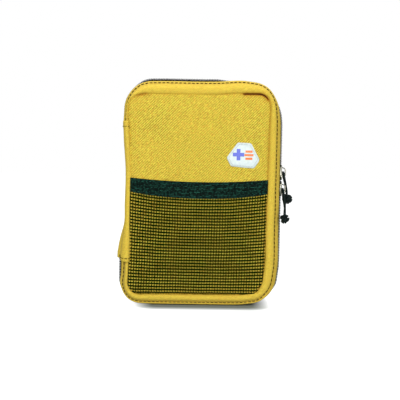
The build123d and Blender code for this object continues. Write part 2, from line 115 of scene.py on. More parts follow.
def plateau(value, foot, top, edge, end):
    """1 from top to edge, eased to 0 at foot and end."""
    return smooth(value, foot, top) * (1 - smooth(value, edge, end))


def wobble(x, y, z, scale, seed):
    """Smooth noise from -1 to 1 with features about scale millimetres wide."""
    return noise.noise(Vector((x / scale + seed, y / scale - seed, z / scale + 0.37 * seed)))


# ================================================================ the way round the case
def left_shift(z):
    """How much further in the panel's seam lies at the left: below 0, as the sunk spine draws it outwards,
    most of all near the top."""
    return -0.6 - 1.2 * smooth(z, 40.0, 110.0) - 4.0 * smooth(z, 130.0, 205.0)


class Rim:
    """The hem's outline from the spine's lower end, down, along the foot, up the right side,
    over the top and down to the spine's upper end."""

    def __init__(self, start=SPINE_LOW + 5.0, end=SPINE_HIGH - 5.0):
        half, low, high = WIDTH / 2, BOTTOM_RADIUS, TOP_RADIUS
        self.parts = [
            ("line", start - low, (-half, start), (0, -1)),
            ("arc", low, (-half + low, low), 180, "low_left"),
            ("line", WIDTH - 2 * low, (-half + low, 0), (1, 0)),
            ("arc", low, (half - low, low), 270, "low_right"),
            ("line", HEIGHT - low - high, (half, low), (0, 1)),
            ("arc", high, (half - high, HEIGHT - high), 0, "high_right"),
            ("line", WIDTH - 2 * high, (half - high, HEIGHT), (-1, 0)),
            ("arc", high, (-half + high, HEIGHT - high), 90, "high_left"),
            ("line", HEIGHT - high - end, (-half, HEIGHT - high), (0, -1)),
        ]
        self.corners, self.length = {}, 0.0
        for part in self.parts:
            long = self.part_length(part)
            if part[0] == "arc":
                self.corners[part[4]] = self.length + long / 2
            self.length += long

    @staticmethod
    def part_length(part):
        return part[1] if part[0] == "line" else part[1] * math.pi / 2

    def base(self, s):
        """Point and outward normal at a distance along the rim."""
        for part in self.parts:
            long = self.part_length(part)
            if s <= long or part is self.parts[-1]:
                break
            s -= long
        if part[0] == "line":
            (x, z), (dx, dz) = part[2], part[3]
            return x + dx * s, z + dz * s, dz, -dx
        angle = math.radians(part[3]) + s / part[1]
        nx, nz = math.cos(angle), math.sin(angle)
        return part[2][0] + part[1] * nx, part[2][1] + part[1] * nz, nx, nz

    def at(self, s, inset, sag=0.0, drop=0.0):
        """Point at a distance along the rim and in from the hem; sag lowers it under the case."""
        x, z, nx, nz = self.base(s)
        blend, pushed = smooth(inset, 2.0, SEAM_INSET), 0.0
        for corner, (at_hem, at_seam) in CORNER_PUSH.items():
            share = smooth(1 - abs(s - self.corners[corner]) / PUSH_REACH)
            pushed += share * (at_hem * (1 - blend) + at_seam * blend)
        left, right, top = (max(0.0, v) ** 2 for v in (-nx, nx, nz))
        inset += pushed + blend * (left_shift(z) * left + SEAM_SHIFT[0] * right + SEAM_SHIFT[1] * top)
        z += TOP_RISE * smooth(x, 0.0, 45.0) * max(0.0, nz)
        x -= inset * nx
        z -= inset * nz + drop * max(0.0, nz) + sag * max(0.0, -nz)
        return x, z

    def steps(self, step):
        count = max(2, round(self.length / step))
        return [self.length * i / count for i in range(count + 1)]


RIM = Rim()
WHOLE = Rim(start=HEIGHT / 2, end=HEIGHT / 2)  # the closed outline, spine side included
SEAM_DROP = 1.5  # how much lower the panel's seam lies along the top


class Seam:
    """Distances to the panel's seam."""

    def __init__(self):
        self.points = [Vector((*WHOLE.at(s, SEAM_INSET, 0.0, SEAM_DROP), 0)) for s in WHOLE.steps(0.5)[:-1]]
        self.tree = KDTree(len(self.points))
        for i, point in enumerate(self.points):
            self.tree.insert(point, i)
        self.tree.balance()

    def inside(self, x, z):
        """How far a point lies inside the seam; below 0 outside it."""
        p = Vector((x, z, 0))
        near, i, _ = self.tree.find(p)
        run = self.points[(i + 2) % len(self.points)] - self.points[i - 2]
        inwards = Vector((-run.y, run.x, 0)).normalized()
        side = (p - near).dot(inwards)
        return math.copysign((p - near).length, side)


SEAM = Seam()


# ================================================================ meshes
def shade_smooth(mesh):
    mesh.polygons.foreach_set("use_smooth", [True] * len(mesh.polygons))


def new_object(name, verts, faces, material, body=None):
    """A mesh in the frame, which rides on the body if there is one."""
    mesh = bpy.data.meshes.new(name)
    mesh.from_pydata([tuple(v) for v in verts], [], faces)
    mesh.validate()
    mesh.materials.append(material)
    shade_smooth(mesh)
    piece = bpy.data.objects.new(name, mesh)
    bpy.context.scene.collection.objects.link(piece)
    if body:
        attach(piece, body)
    return piece


def modify(piece, kind, **settings):
    """Change the piece's mesh by a modifier."""
    modifier = piece.modifiers.new(kind, kind)
    for key, value in settings.items():
        setattr(modifier, key, value)
    graph = bpy.context.evaluated_depsgraph_get()
    done = bpy.data.meshes.new_from_object(piece.evaluated_get(graph))
    piece.modifiers.clear()
    piece.data = done


def thicken(piece, cloth, offset):
    modify(piece, "SOLIDIFY", thickness=THICKNESS[cloth] * MM, offset=offset)


@contextmanager
def reworked(piece):
    """The piece's mesh, open for changes."""
    work = bmesh.new()
    work.from_mesh(piece.data)
    yield work
    work.to_mesh(piece.data)
    work.free()


def outwards(piece):
    """Turn all the faces of a closed mesh outwards."""
    with reworked(piece) as work:
        bmesh.ops.recalc_face_normals(work, faces=work.faces)


def merge(piece):
    """Join the points of a mesh that meet."""
    with reworked(piece) as work:
        bmesh.ops.remove_doubles(work, verts=work.verts, dist=0.01 * MM)


def join(whole, others):
    """Gather the meshes of several objects into one."""
    with reworked(whole) as work:
        for piece in others:
            work.from_mesh(piece.data)
    for piece in others:
        bpy.data.objects.remove(piece)


def stand_in(piece, body, node, cloth=None, offset=0.0):
    """Finish a piece, thickened if it is a cloth, that rides on the body in place of the node."""
    if cloth:
        thicken(piece, cloth, offset)
    outwards(piece)
    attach(piece, body)
    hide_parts(node)


def grid_faces(rows, columns, closed_rows=False, closed_columns=False):
    faces = []
    for i in range(rows if closed_rows else rows - 1):
        for j in range(columns if closed_columns else columns - 1):
            a, b = i * columns + j, i * columns + (j + 1) % columns
            c, d = ((i + 1) % rows) * columns + (j + 1) % columns, ((i + 1) % rows) * columns + j
            faces.append((a, b, c, d))
    return faces


def tube_faces(rings, sides):
    """The faces of a closed tube or prism whose points come ring by ring."""
    last = (rings - 1) * sides
    ends = [tuple(reversed(range(sides))), tuple(range(last, last + sides))]
    return grid_faces(rings, sides, closed_columns=True) + ends


def painted_fold_shade_layer(piece, values):
    """How much painted shade each point gets in a fold, which the canvas finish reads."""
    layer = piece.data.attributes.new("fold", "FLOAT", "POINT")
    layer.data.foreach_set("value", values)


class Bundle:
    """Many small meshes gathered into one piece."""

    def __init__(self):
        self.verts, self.faces = [], []

    def add(self, verts, faces):
        start = len(self.verts)
        self.verts += verts
        self.faces += [tuple(start + i for i in face) for face in faces]

    def capsule(self, start, end, normal, wide, high, sides=8):
        """A rounded bar from start to end: a stitch, or one turn of the zipper's coil."""
        along = end - start
        axis = along.normalized()
        up = (normal - axis * normal.dot(axis)).normalized()
        across = axis.cross(up)
        rings = [(0.0, 0.0), (0.06, 0.62), (0.2, 0.95), (0.5, 1.0), (0.8, 0.95), (0.94, 0.62), (1.0, 0.0)]
        verts = [start]
        for share, size in rings[1:-1]:
            centre = start + along * share
            for k in range(sides):
                angle = 2 * math.pi * k / sides
                sideways = across * (wide / 2 * size * math.cos(angle))
                verts.append(centre + sideways + up * (high / 2 * size * math.sin(angle)))
        verts.append(end)
        faces = [(0, 1 + (k + 1) % sides, 1 + k) for k in range(sides)]
        between = grid_faces(len(rings) - 2, sides, closed_columns=True)
        faces += [tuple(1 + i for i in face) for face in between]
        last, final = 1 + (len(rings) - 3) * sides, len(verts) - 1
        faces += [(final, last + k, last + (k + 1) % sides) for k in range(sides)]
        self.add(verts, faces)

    def make(self, name, material, body, node=None):
        """One piece of them all, in place of a node or beside it."""
        piece = new_object(name, self.verts, self.faces, material, body)
        outwards(piece)
        if node:
            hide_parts(node)
        return piece


def travel(points):
    """How far along their line each of the points lies."""
    travelled = [0.0]
    for a, b in zip(points, points[1:]):
        travelled.append(travelled[-1] + (b - a).length)
    return travelled


def stitch_row(bundle, points, normals, length, gap, thread, sunk=0.1):
    """Stitches along a line of points in metres; each goes down at its ends."""
    travelled = travel(points)

    def at(distance):
        k = max(i for i in range(len(travelled) - 1) if travelled[i] <= distance or i == 0)
        share = (distance - travelled[k]) / max(travelled[k + 1] - travelled[k], 1e-9)
        return points[k].lerp(points[k + 1], share), normals[k].lerp(normals[k + 1], share)

    count = max(1, int(travelled[-1] / ((length + gap) * MM)))
    pitch = travelled[-1] / count
    for i in range(count):
        (a, na), (b, nb) = at(pitch * i), at(pitch * i + pitch * length / (length + gap))
        up = (na + nb).normalized()
        lift = up * (thread / 2 - sunk) * MM
        bundle.capsule(a + lift, b + lift, up, thread * MM, thread * MM)


# ================================================================ materials
class Finish:
    """A material's node tree, with short names for the nodes that the finishes share."""

    def __init__(self, name, **settings):
        self.material = bpy.data.materials.new(name)
        self.material.use_nodes = True
        self.nodes = self.material.node_tree.nodes
        self.links = self.material.node_tree.links
        self.shader = self.nodes["Principled BSDF"]
        coordinates = self.nodes.new("ShaderNodeTexCoord")
        self.place = coordinates.outputs["Object"]
        self.facing = coordinates.outputs["Normal"]
        for key, value in settings.items():
            self.shader.inputs[key.replace("_", " ")].default_value = value

    def put(self, node, key, value):
        socket = node.inputs[key]
        if isinstance(value, bpy.types.NodeSocket):
            self.links.new(value, socket)
        else:
            socket.default_value = value

    def node(self, kind, output=0, inputs=(), **settings):
        made = self.nodes.new("ShaderNode" + kind)
        for key, value in settings.items():
            setattr(made, key, value)
        for key, value in dict(inputs).items():
            self.put(made, key, value)
        return made.outputs[output]

    def laid(self):
        """The place, x or z exchanged for y on faces that look along it, so that a weave keeps its size."""
        turned = []
        for i in (0, 2):
            across, y = self.axis(i), self.axis(1)
            turn = self.math("GREATER_THAN", self.math("ABSOLUTE", self.axis(i, self.facing)), 0.7)
            turned.append(self.add(across, self.times(turn, self.math("SUBTRACT", y, across))))
        return self.node("CombineXYZ", inputs={0: turned[0], 2: turned[1]})

    def axis(self, i, vector=None):
        """One coordinate of the place or of another vector."""
        return self.node("SeparateXYZ", output=i, inputs={0: vector or self.place})

    def stretched(self, x, y, z, at=None):
        return self.node("Mapping", inputs={"Vector": at or self.place, "Scale": (x, y, z)})

    def noise(self, scale, detail=3.0, roughness=0.55, at=None):
        return self.node("TexNoise", inputs={
            "Vector": at or self.place, "Scale": scale, "Detail": detail, "Roughness": roughness,
        })

    def wave(self, period, direction, distortion=0.0, detail_scale=1.0, at=None):
        """Bands of this period in millimetres; a Blender wave of scale 1 has 20/(2 pi) bands a unit."""
        scale = 2 * math.pi / (20 * period * MM)
        return self.node("TexWave", output=1, bands_direction=direction, inputs={
            "Vector": at or self.place, "Scale": scale, "Distortion": distortion,
            "Detail": 2.0, "Detail Scale": detail_scale,
        })

    def math(self, operation, a, b=0.0):
        return self.node("Math", operation=operation, inputs={0: a, 1: b})

    def add(self, a, b):
        return self.math("ADD", a, b)

    def times(self, a, b):
        return self.math("MULTIPLY", a, b)

    def mix(self, factor, a, b, blend="MIX"):
        return self.node("Mix", output=2, data_type="RGBA", blend_type=blend, inputs={0: factor, 6: a, 7: b})

    def ramp(self, value, low, high, a=0.0, b=1.0):
        return self.node("MapRange", inputs={
            "Value": value, "From Min": low, "From Max": high, "To Min": a, "To Max": b,
        })

    def shades(self, value, colour, dark, light):
        """From one shade of a colour to another as the value goes from 0 to 1."""
        return self.mix(value, shade(colour, dark), shade(colour, light))

    def tint(self, tone, value, low, high, colour, most):
        """The tone, drawn towards a colour as the value goes from low to high."""
        return self.mix(self.ramp(value, low, high, 0.0, most), tone, colour)

    def bump(self, height, strength, distance):
        return self.node("Bump", inputs={"Height": height, "Strength": strength, "Distance": distance * MM})

    def finish(self, colour, normal, roughness=None):
        self.put(self.shader, "Base Color", colour)
        self.put(self.shader, "Normal", normal)
        if roughness is not None:
            self.put(self.shader, "Roughness", roughness)
        return self.material


def rgb(red, green, blue):
    """A colour written as it looks on a screen, 0 to 255, as the linear colour a shader takes."""
    linear = [((v / 255 + 0.055) / 1.055) ** 2.4 if v > 10 else v / 255 / 12.92 for v in (red, green, blue)]
    return (*linear, 1.0)


def shade(colour, factor):
    return (*[min(1.0, c * factor) for c in colour[:3]], 1.0)


def canvas(name, colour, weave, grain, relief=0.16, mottle=0.10):
    """Polyester canvas in a twill weave: diagonal ribs crossed by yarns, with slubs and soft mottling."""
    f = Finish(name, Roughness=0.9, Sheen_Weight=0.03, Sheen_Roughness=0.5, Specular_IOR_Level=0.08)
    laid = f.stretched(1.0, 1.0, -1.0, at=f.laid())
    diagonal = f.wave(weave, "DIAGONAL", distortion=1.1, detail_scale=3.0, at=laid)
    upright = f.wave(weave * 0.62, "X", distortion=0.8, detail_scale=3.0, at=laid)
    level = f.wave(weave * 0.62, "Z", distortion=0.8, detail_scale=3.0, at=laid)
    weave_height = f.add(f.times(diagonal, 0.65), f.times(f.times(upright, level), 0.5))
    slubs = f.noise(900.0, detail=2.0)
    cloudy = f.noise(26.0, detail=4.0)
    tone = f.shades(f.ramp(weave_height, 0.1, 0.95), colour, 1 - grain, 1 + 0.75 * grain)
    tone = f.tint(tone, slubs, 0.35, 0.7, shade(colour, 0.90), 0.5)
    tone = f.tint(tone, cloudy, 0.35, 0.65, shade(colour, 1.0 - mottle), mottle * 4)
    slant = f.node("Mapping", vector_type="TEXTURE", inputs={
        "Vector": f.place, "Rotation": (0, math.radians(-32), 0), "Scale": (0.0024, 0.0014, 0.00095),
    })
    strokes = f.noise(1.0, detail=2.0, roughness=0.6, at=slant)
    tone = f.tint(tone, strokes, 0.54, 0.68, shade(colour, 0.4), 0.7 * grain)
    tone = f.tint(tone, strokes, 0.46, 0.32, shade(colour, 1.5), 0.7 * grain)
    hue = f.noise(460.0, detail=1.0)
    for far, warmth in ((0.68, rgb(255, 214, 196)), (0.32, rgb(236, 255, 214))):
        tone = f.tint(tone, hue, 0.50, far, f.mix(1.0, tone, warmth, blend="MULTIPLY"), 0.5 * grain)
    # painted shade: the fold attribute darkens the canvas in the seam's fold, first to a warm orange-brown,
    # then to dark brown
    fold = f.node("Attribute", output=2, attribute_name="fold")
    tone = f.mix(fold, tone, f.mix(1.0, tone, rgb(196, 128, 52), blend="MULTIPLY"))
    tone = f.tint(tone, fold, 0.6, 1.4, rgb(40, 26, 10), 0.9)
    height = f.add(f.add(weave_height, f.times(slubs, 0.7)), f.times(strokes, 1.2))
    return f.finish(tone, f.bump(height, 0.75, relief))


def thread(name, colour):
    f = Finish(name, Roughness=0.9, Specular_IOR_Level=0.05)
    twist = f.wave(0.5, "DIAGONAL", distortion=1.0)
    return f.finish(f.shades(twist, colour, 0.7, 1.4), f.bump(twist, 0.5, 0.1))


def woven(name, colour, period=0.9, relief=0.12, vary=0.35):
    """Plain tape or net: fine crossing yarns."""
    f = Finish(name, Roughness=0.9, Specular_IOR_Level=0.0)
    a, b, c = (f.wave(period, way, 0.4) for way in "XZY")
    height = f.add(f.times(a, b), f.times(c, 0.4))
    tone = f.shades(f.ramp(height, 0.1, 1.1), colour, 1 - vary, 1 + vary)
    tone = f.tint(tone, f.noise(60.0), 0.3, 0.7, shade(colour, 0.8), 0.3)
    return f.finish(tone, f.bump(height, 0.6, relief))


def ripstop(name, colour):
    """Thin lining with a grid of thicker yarns every few millimetres."""
    f = Finish(name, Roughness=0.62, Sheen_Weight=0.1, Specular_IOR_Level=0.4)
    fine = f.times(f.wave(0.5, "X"), f.wave(0.5, "Z"))
    lines = f.math("MAXIMUM", *(f.ramp(f.wave(5.0, way), 0.93, 0.99) for way in "XZ"))
    tone = f.mix(lines, f.shades(fine, colour, 0.85, 1.1), shade(colour, 1.5))
    tone = f.tint(tone, f.noise(30.0), 0.3, 0.7, shade(colour, 0.75), 0.35)
    height = f.add(f.times(fine, 0.4), lines)
    return f.finish(tone, f.bump(f.add(height, f.noise(120.0)), 0.5, 0.15))


def elastic(name, colour, rib=1.45):
    """Ribbed elastic: fine ribs along it, crossed by close yarns, with painted glints in dashes on the ribs'
    crests.
    """
    f = Finish(name, Roughness=0.7, Specular_IOR_Level=0.08)
    ribs = f.wave(rib, "Z", 0.15)
    yarns = f.wave(0.85, "X", 0.6, 2.0)
    height = f.add(f.times(ribs, 0.9), f.times(yarns, 0.5))
    dashes = f.noise(1.0, detail=1.0, at=f.stretched(560.0, 560.0, 1300.0))
    # painted glints: a lit, teal copy of the colour in dashes on the ribs' crests
    painted_glint = f.times(f.ramp(ribs, 0.5, 0.95), f.ramp(dashes, 0.46, 0.62))
    tone = f.shades(f.ramp(height, 0.1, 1.2), colour, 0.15, 1.1)
    tone = f.mix(painted_glint, tone, f.mix(0.6, shade(colour, 14.0), rgb(50, 112, 94)))
    return f.finish(tone, f.bump(height, 0.8, 0.25))


def braid(name, colour):
    """Braided cord: slanting strands with dark gaps between them."""
    f = Finish(name, Roughness=0.6, Specular_IOR_Level=0.15)
    a = f.wave(0.95, "DIAGONAL", 0.6)
    b = f.wave(0.95, "DIAGONAL", 0.6, at=f.stretched(1.0, 1.0, -1.0))
    height = f.math("MAXIMUM", a, b)
    tone = f.shades(f.ramp(height, 0.5, 1.0), colour, 0.4, 2.2)
    return f.finish(tone, f.bump(height, 0.9, 0.3))


def metal(name, colour, roughness, scratch=0.25):
    f = Finish(name, Metallic=1.0)
    fine = f.noise(900.0, detail=4.0, at=f.stretched(1.0, 1.0, 0.12))
    tone = f.tint(colour, f.noise(70.0), 0.3, 0.7, shade(colour, 0.82), 0.5)
    rough = f.ramp(fine, 0.3, 0.7, roughness * 0.7, roughness * 1.5)
    return f.finish(tone, f.bump(fine, scratch, 0.03), rough)


def film(name, colour, roughness, crinkle, band=None):
    """Crinkled plastic film or foil; band is a second colour over a stretch of height."""
    f = Finish(name, Coat_Weight=0.3, Coat_Roughness=0.15)
    folds = f.noise(55.0, detail=5.0, roughness=0.6)
    fine = f.noise(260.0)
    tone = f.mix(f.ramp(folds, 0.3, 0.7), shade(colour, 0.88), colour)
    if band:
        low, high, other = band
        height = f.axis(2)
        above, below = f.math("GREATER_THAN", height, low * MM), f.math("LESS_THAN", height, high * MM)
        tone = f.mix(f.times(above, below), tone, other)
    rough = f.ramp(fine, 0.3, 0.7, roughness * 0.8, roughness * 1.3)
    return f.finish(tone, f.bump(f.add(folds, f.times(fine, 0.25)), crinkle, 1.2), rough)


def crepe(name, colour, period=1.6):
    """Bandage cloth: crinkled across its width."""
    f = Finish(name, Roughness=0.9, Sheen_Weight=0.25)
    crinkle = f.wave(period, "Z", 2.2, 1.6)
    open_weave = f.times(f.wave(0.8, "X", 0.5), f.wave(0.8, "Y", 0.5))
    height = f.add(crinkle, f.times(open_weave, 0.3))
    tone = f.shades(f.ramp(height, 0.1, 1.1), colour, 0.78, 1.05)
    return f.finish(tone, f.bump(height, 0.8, 0.35))


def board(name, colour):
    f = Finish(name, Roughness=0.85)
    fibres = f.noise(500.0, detail=5.0)
    return f.finish(f.shades(fibres, colour, 0.75, 1.15), f.bump(fibres, 0.5, 0.08))


def coil_plastic(name, colour):
    f = Finish(name, Roughness=0.6, Specular_IOR_Level=0.0)
    specks = f.noise(700.0)
    return f.finish(f.shades(specks, colour, 0.6, 1.8), f.bump(specks, 0.3, 0.04))


def patch_face(name, centre):
    """Pale coated cloth with a generic mark: a plus beside three level bars."""
    f = Finish(name, Roughness=0.45, Coat_Weight=0.15)
    x, z = (f.math("SUBTRACT", f.axis(i), centre[i]) for i in (0, 2))

    def inside(value, middle, half):
        return f.math("LESS_THAN", f.math("ABSOLUTE", f.math("SUBTRACT", value, middle * MM)), half * MM)

    def bar(cx, cz, half_x, half_z):
        return f.times(inside(x, cx, half_x), inside(z, cz, half_z))

    plus = f.math("MAXIMUM", bar(-4.6, 0.2, 1.9, 5.8), bar(-4.6, 0.2, 5.8, 1.9))
    top, middle, foot = (bar(6.0, at, half, 1.15) for at, half in ((3.4, 3.6), (-0.2, 4.6), (-3.8, 3.6)))
    bars = f.math("MAXIMUM", f.math("MAXIMUM", top, middle), foot)
    grain = f.noise(420.0)
    base = f.mix(f.ramp(grain, 0.3, 0.7), rgb(206, 220, 221), rgb(222, 232, 231))
    tone = f.mix(bars, f.mix(plus, base, rgb(88, 102, 214)), rgb(243, 128, 56))
    return f.finish(tone, f.bump(grain, 0.3, 0.06))


CANVAS = canvas("canvas", rgb(233, 195, 72), weave=1.35, grain=0.75)
STRIP = canvas("canvas_strip", rgb(230, 196, 74), weave=0.9, relief=0.12, mottle=0.08, grain=0.42)
STITCH = thread("dark_thread", rgb(44, 30, 10))
GREY_STITCH = thread("grey_thread", rgb(150, 160, 160))
TAPE = woven("zip_tape", rgb(8, 11, 11))
COIL = coil_plastic("zip_coil", rgb(8, 11, 11))
NET = woven("net", rgb(8, 37, 2), period=0.6, relief=0.1)
BAND = elastic("elastic", rgb(3, 20, 15))
BRAID = braid("cord", rgb(10, 22, 22))
SILVER = metal("slider_metal", (0.34, 0.33, 0.27, 1.0), roughness=0.16)
STEEL = metal("steel", (0.60, 0.61, 0.63, 1.0), roughness=0.3, scratch=0.5)
LINING = ripstop("lining", rgb(72, 76, 80))
INNER_NET = woven("inner_net", rgb(44, 48, 52), period=0.6)
BINDING = woven("binding", rgb(30, 34, 36), period=0.8)
ELASTIC_STRAP = elastic("elastic_strap", rgb(30, 34, 38), rib=2.4)
CREPE = crepe("bandage", rgb(232, 224, 206))
GAUZE = crepe("gauze", rgb(240, 240, 236), period=0.9)
TAPE_CLOTH = woven("tape_cloth", rgb(226, 214, 196), period=0.7, vary=0.12)
CARD = board("card", rgb(176, 150, 116))
PAPER = film("paper_pack", rgb(236, 238, 236), 0.6, 0.35, band=(62.0, 74.0, rgb(84, 150, 196)))
FOIL = film("foil", rgb(214, 178, 84), 0.22, 0.9)
GLOVE_FILM = film("glove_film", rgb(150, 190, 214), 0.3, 0.8)
WIPE_FILM = film("wipe_film", rgb(232, 238, 240), 0.35, 0.5, band=(28.0, 48.0, rgb(96, 176, 150)))
PLASTER_PAPER = film("plaster_paper", rgb(238, 232, 220), 0.6, 0.35, band=(86.0, 100.0, rgb(206, 96, 76)))


# ================================================================ the border strips
# From the panel's seam, over the roll, down the wall and out to the lip beside the zipper:
# inset from the hem, depth, sag under the case, drop at the top.
STRIP_PROFILE = [
    (13.2, 23.4, 0.0, 1.5),
    (11.7, 23.6, 0.0, 1.5),
    (11.0, 24.6, 0.0, 1.5),
    (10.3, 25.7, 0.0, 1.4),
    (9.0, 26.2, 0.2, 1.2),
    (7.6, 25.5, 0.4, 0.9),
    (6.2, 23.6, 0.7, 0.6),
    (5.2, 20.8, 1.0, 0.3),
    (4.6, 17.6, 1.4, 0.1),
    (4.2, 14.6, 1.7, 0.0),
    (3.9, 12.9, 1.8, 0.0),
    (3.9, 12.0, 1.8, 0.0),
    (3.2, 11.2, 1.6, 0.0),
    (1.9, 9.6, 1.0, 0.0),
    (0.7, 8.1, 0.4, 0.0),
    (0.1, 7.2, 0.0, 0.0),
    (0.2, 6.5, 0.0, 0.0),
    (1.0, 6.2, 0.0, 0.0),
    (2.4, 6.9, 1.0, 0.0),
    (4.4, 9.4, 2.6, 0.0),
]
FOOT_PROFILE = [  # inset and depth, from the roll to the lip, where the case stands on its strip
    (9.0, 26.4), (7.6, 26.6), (6.3, 26.3), (5.4, 25.8), (4.8, 25.2), (4.3, 24.6), (3.9, 24.1), (3.6, 23.8),
    (2.6, 23.9), (1.3, 23.8), (0.4, 22.8), (0.1, 9.5),
]
HEAD_PROFILE = [  # the same at the right and the top, where the roll is fuller
    (9.0, 26.3), (7.9, 26.3), (6.9, 25.9), (6.0, 25.1), (5.2, 23.9), (4.4, 22.4), (3.6, 20.6), (3.1, 19.3),
    (2.3, 18.0), (1.4, 15.8), (0.6, 12.4), (0.1, 8.0),
]
STITCH_ROW = 11  # the profile point that the dark stitches lie on
FIRST_ROW = 4  # from this profile point on, the foot's and the head's points take the strip's place
STITCH_DRAW = 1.9  # how far the stitches draw the strip in at the right


def bared(s):
    """How far the strip draws back just below the spine, where the zipper shows."""
    return 1.8 * plateau(s, 2.0, 7.0, 18.0, 34.0) - 0.9 * (1 - smooth(s, 0.0, 4.0))


def strip_point(s, row, side):
    inset, depth, sag, drop = STRIP_PROFILE[row]
    _, _, nx, nz = RIM.base(s)
    for profile, facing in ((HEAD_PROFILE, math.hypot(max(0.0, nx), max(0.0, nz))), (FOOT_PROFILE, -nz)):
        if FIRST_ROW <= row < FIRST_ROW + len(profile):
            share = smooth(facing, 0.1, 0.95)
            inset += (profile[row - FIRST_ROW][0] - inset) * share
            depth += (profile[row - FIRST_ROW][1] - depth) * share
            sag *= 1 - share
    inset += bared(s) * (1 - smooth(inset, 3.5, 9.0))
    inset += STITCH_DRAW * max(0.0, nx) ** 2 * math.exp(-((row - STITCH_ROW) / 2.0) ** 2)
    x, z = RIM.at(s, inset, sag, drop)
    seed = 3.0 * side
    loose = plateau(inset, 3.0, 8.0, 10.2, 11.0)
    depth += loose * (0.55 * wobble(x, 0, z, 34, seed) + 0.22 * wobble(x, depth, z, 7, seed))
    pucker = 0.28 * math.exp(-((row - STITCH_ROW) / 1.6) ** 2)
    x0, z0 = RIM.at(s, 0.0)
    slide = pucker * wobble(x0, 0, z0, 3.4, seed + 5) + 0.35 * wobble(x0, 0, z0, 22, seed + 9)
    lift = 1.0 if nz > -0.5 else 0.25
    return place(x + slide * nx * lift, depth, max(z + slide * nz * lift, 0.0), side)


def border(side):
    along = RIM.steps(2.0)
    rows = len(STRIP_PROFILE)
    verts = [strip_point(s, row, side) for s in along for row in range(rows)]
    name = WORD[side] + "_strip"
    piece = new_object(name, verts, grid_faces(len(along), rows), STRIP)
    # painted shade on the strip's rows next to the panel's seam, and a little painted shade beside the stitch
    # row
    painted_shade_beside_stitches = [0.25 * math.exp(-((row - STITCH_ROW) / 1.2) ** 2) for row in range(rows)]
    painted_fold_shade_layer(piece, [painted_seam_shade(*RIM.at(s, SEAM_INSET)) * math.exp(-(row / 2.0) ** 2) + painted_shade_beside_stitches[row]
                       for s in along for row in range(rows)])
    thicken(piece, "strip", side)
    modify(piece, "SUBSURF", levels=1, render_levels=1)
    stand_in(piece, BODY[side], WORD[side] + "_border")


def rim_normal(s, side, tilt):
    """Outward direction of the strip: across the rim, tilted towards the front or back."""
    _, _, nx, nz = RIM.base(s)
    return Vector((nx * math.cos(tilt), side * math.sin(tilt), nz * math.cos(tilt)))


def border_stitches(side):
    bundle = Bundle()
    along = RIM.steps(2.0)
    normals = [rim_normal(s, side, 0.35) for s in along]
    points = [strip_point(s, STITCH_ROW, side) + n * 0.3 * MM for s, n in zip(along, normals)]
    stitch_row(bundle, points, normals, length=3.3, gap=1.0, thread=0.85)
    bundle.make(WORD[side] + "_stitches", STITCH, BODY[side])


# ================================================================ the zipper
TAPE_PROFILE = [(6.4, 11.0), (4.4, 9.0), (2.4, 7.6), (0.9, 6.2), (-0.3, 5.0), (-0.6, 3.4), (-0.6, 0.0)]
COIL_PITCH = 1.7  # from one turn to the next of the same half
COIL_REACH = 3.1  # from the closing plane to the turns' outer ends
COIL_OVERLAP = 0.45  # how far each half's turns reach past that plane
COIL_PROUD = 1.3  # how far out from the hem's line they lie
HINGE_TUCK = 1.5  # how much further in the zipper lies at the left, clear of the line the case folds about


def zip_shift(s):
    """How much further in the zipper lies: hidden in the top right corner and past the top left one, proud of
    the lips along the left of the top, and tucked in at the left below the spine."""
    right, left = RIM.corners["high_right"], RIM.corners["high_left"]
    past_left = smooth(s, left - 16, left + 4)
    hidden = plateau(s, right - 28, right - 12, right + 46, right + 64) + past_left
    proud = plateau(s, right + 52, right + 70, left - 22, left - 4)
    tucked = HINGE_TUCK * max(0.0, -RIM.base(s)[2]) ** 2 * (1 - past_left)
    return 1.9 * hidden - 0.6 * proud + tucked


def zip_tape(side):
    along = RIM.steps(3.0)
    verts = []
    for s in along:
        tucked = zip_shift(s)
        for inset, depth in TAPE_PROFILE:
            sag = min(inset, 4.0) - 1.4 if inset > 1.5 else -0.6
            moved = tucked * smooth(inset, 3.0, 0.0) + bared(s) * smooth(inset, 0.0, 2.0)
            x, z = RIM.at(s, inset + moved, sag)
            verts.append(place(x, depth, z, side))
    piece = new_object(WORD[side] + "_tape", verts, grid_faces(len(along), len(TAPE_PROFILE)), TAPE)
    stand_in(piece, BODY[side], WORD[side] + "_zip_tape", cloth="zip_tape", offset=side)


def zip_coil(side):
    """The turns of one half's coil; the other half's turns come between them."""
    bundle = Bundle()
    count = round(RIM.length / COIL_PITCH)
    for i in range(count):
        s = (i + (0.25 if side == FRONT else 0.75)) * RIM.length / count
        _, _, nx, nz = RIM.base(s)
        x, z = RIM.at(s, zip_shift(s) - COIL_PROUD, sag=-2.4)
        outer, inner = place(x, COIL_REACH, z, side), place(x, -COIL_OVERLAP, z, side)
        bundle.capsule(outer, inner, Vector((nx, 0, nz)), 0.76 * MM, 2.3 * MM, sides=6)
    bundle.make(WORD[side] + "_coil", COIL, BODY[side], WORD[side] + "_zip_chain")


# ================================================================ panels
def fill(boundary, spacing):
    """Triangles that fill a closed outline, with even points inside."""
    xs, zs = [p[0] for p in boundary], [p[1] for p in boundary]
    points = [Vector(p) for p in boundary]
    count = len(points)
    row, z = 0, min(zs) + spacing * 0.6
    while z < max(zs):
        x = min(xs) + (spacing / 2 if row % 2 else 0.0)
        while x < max(xs):
            points.append(Vector((x, z)))
            x += spacing
        z += spacing * 0.87
        row += 1
    found = delaunay_2d_cdt(points, [], [list(range(count))], 1, 1e-4)
    return found[0], [tuple(face) for face in found[2]]


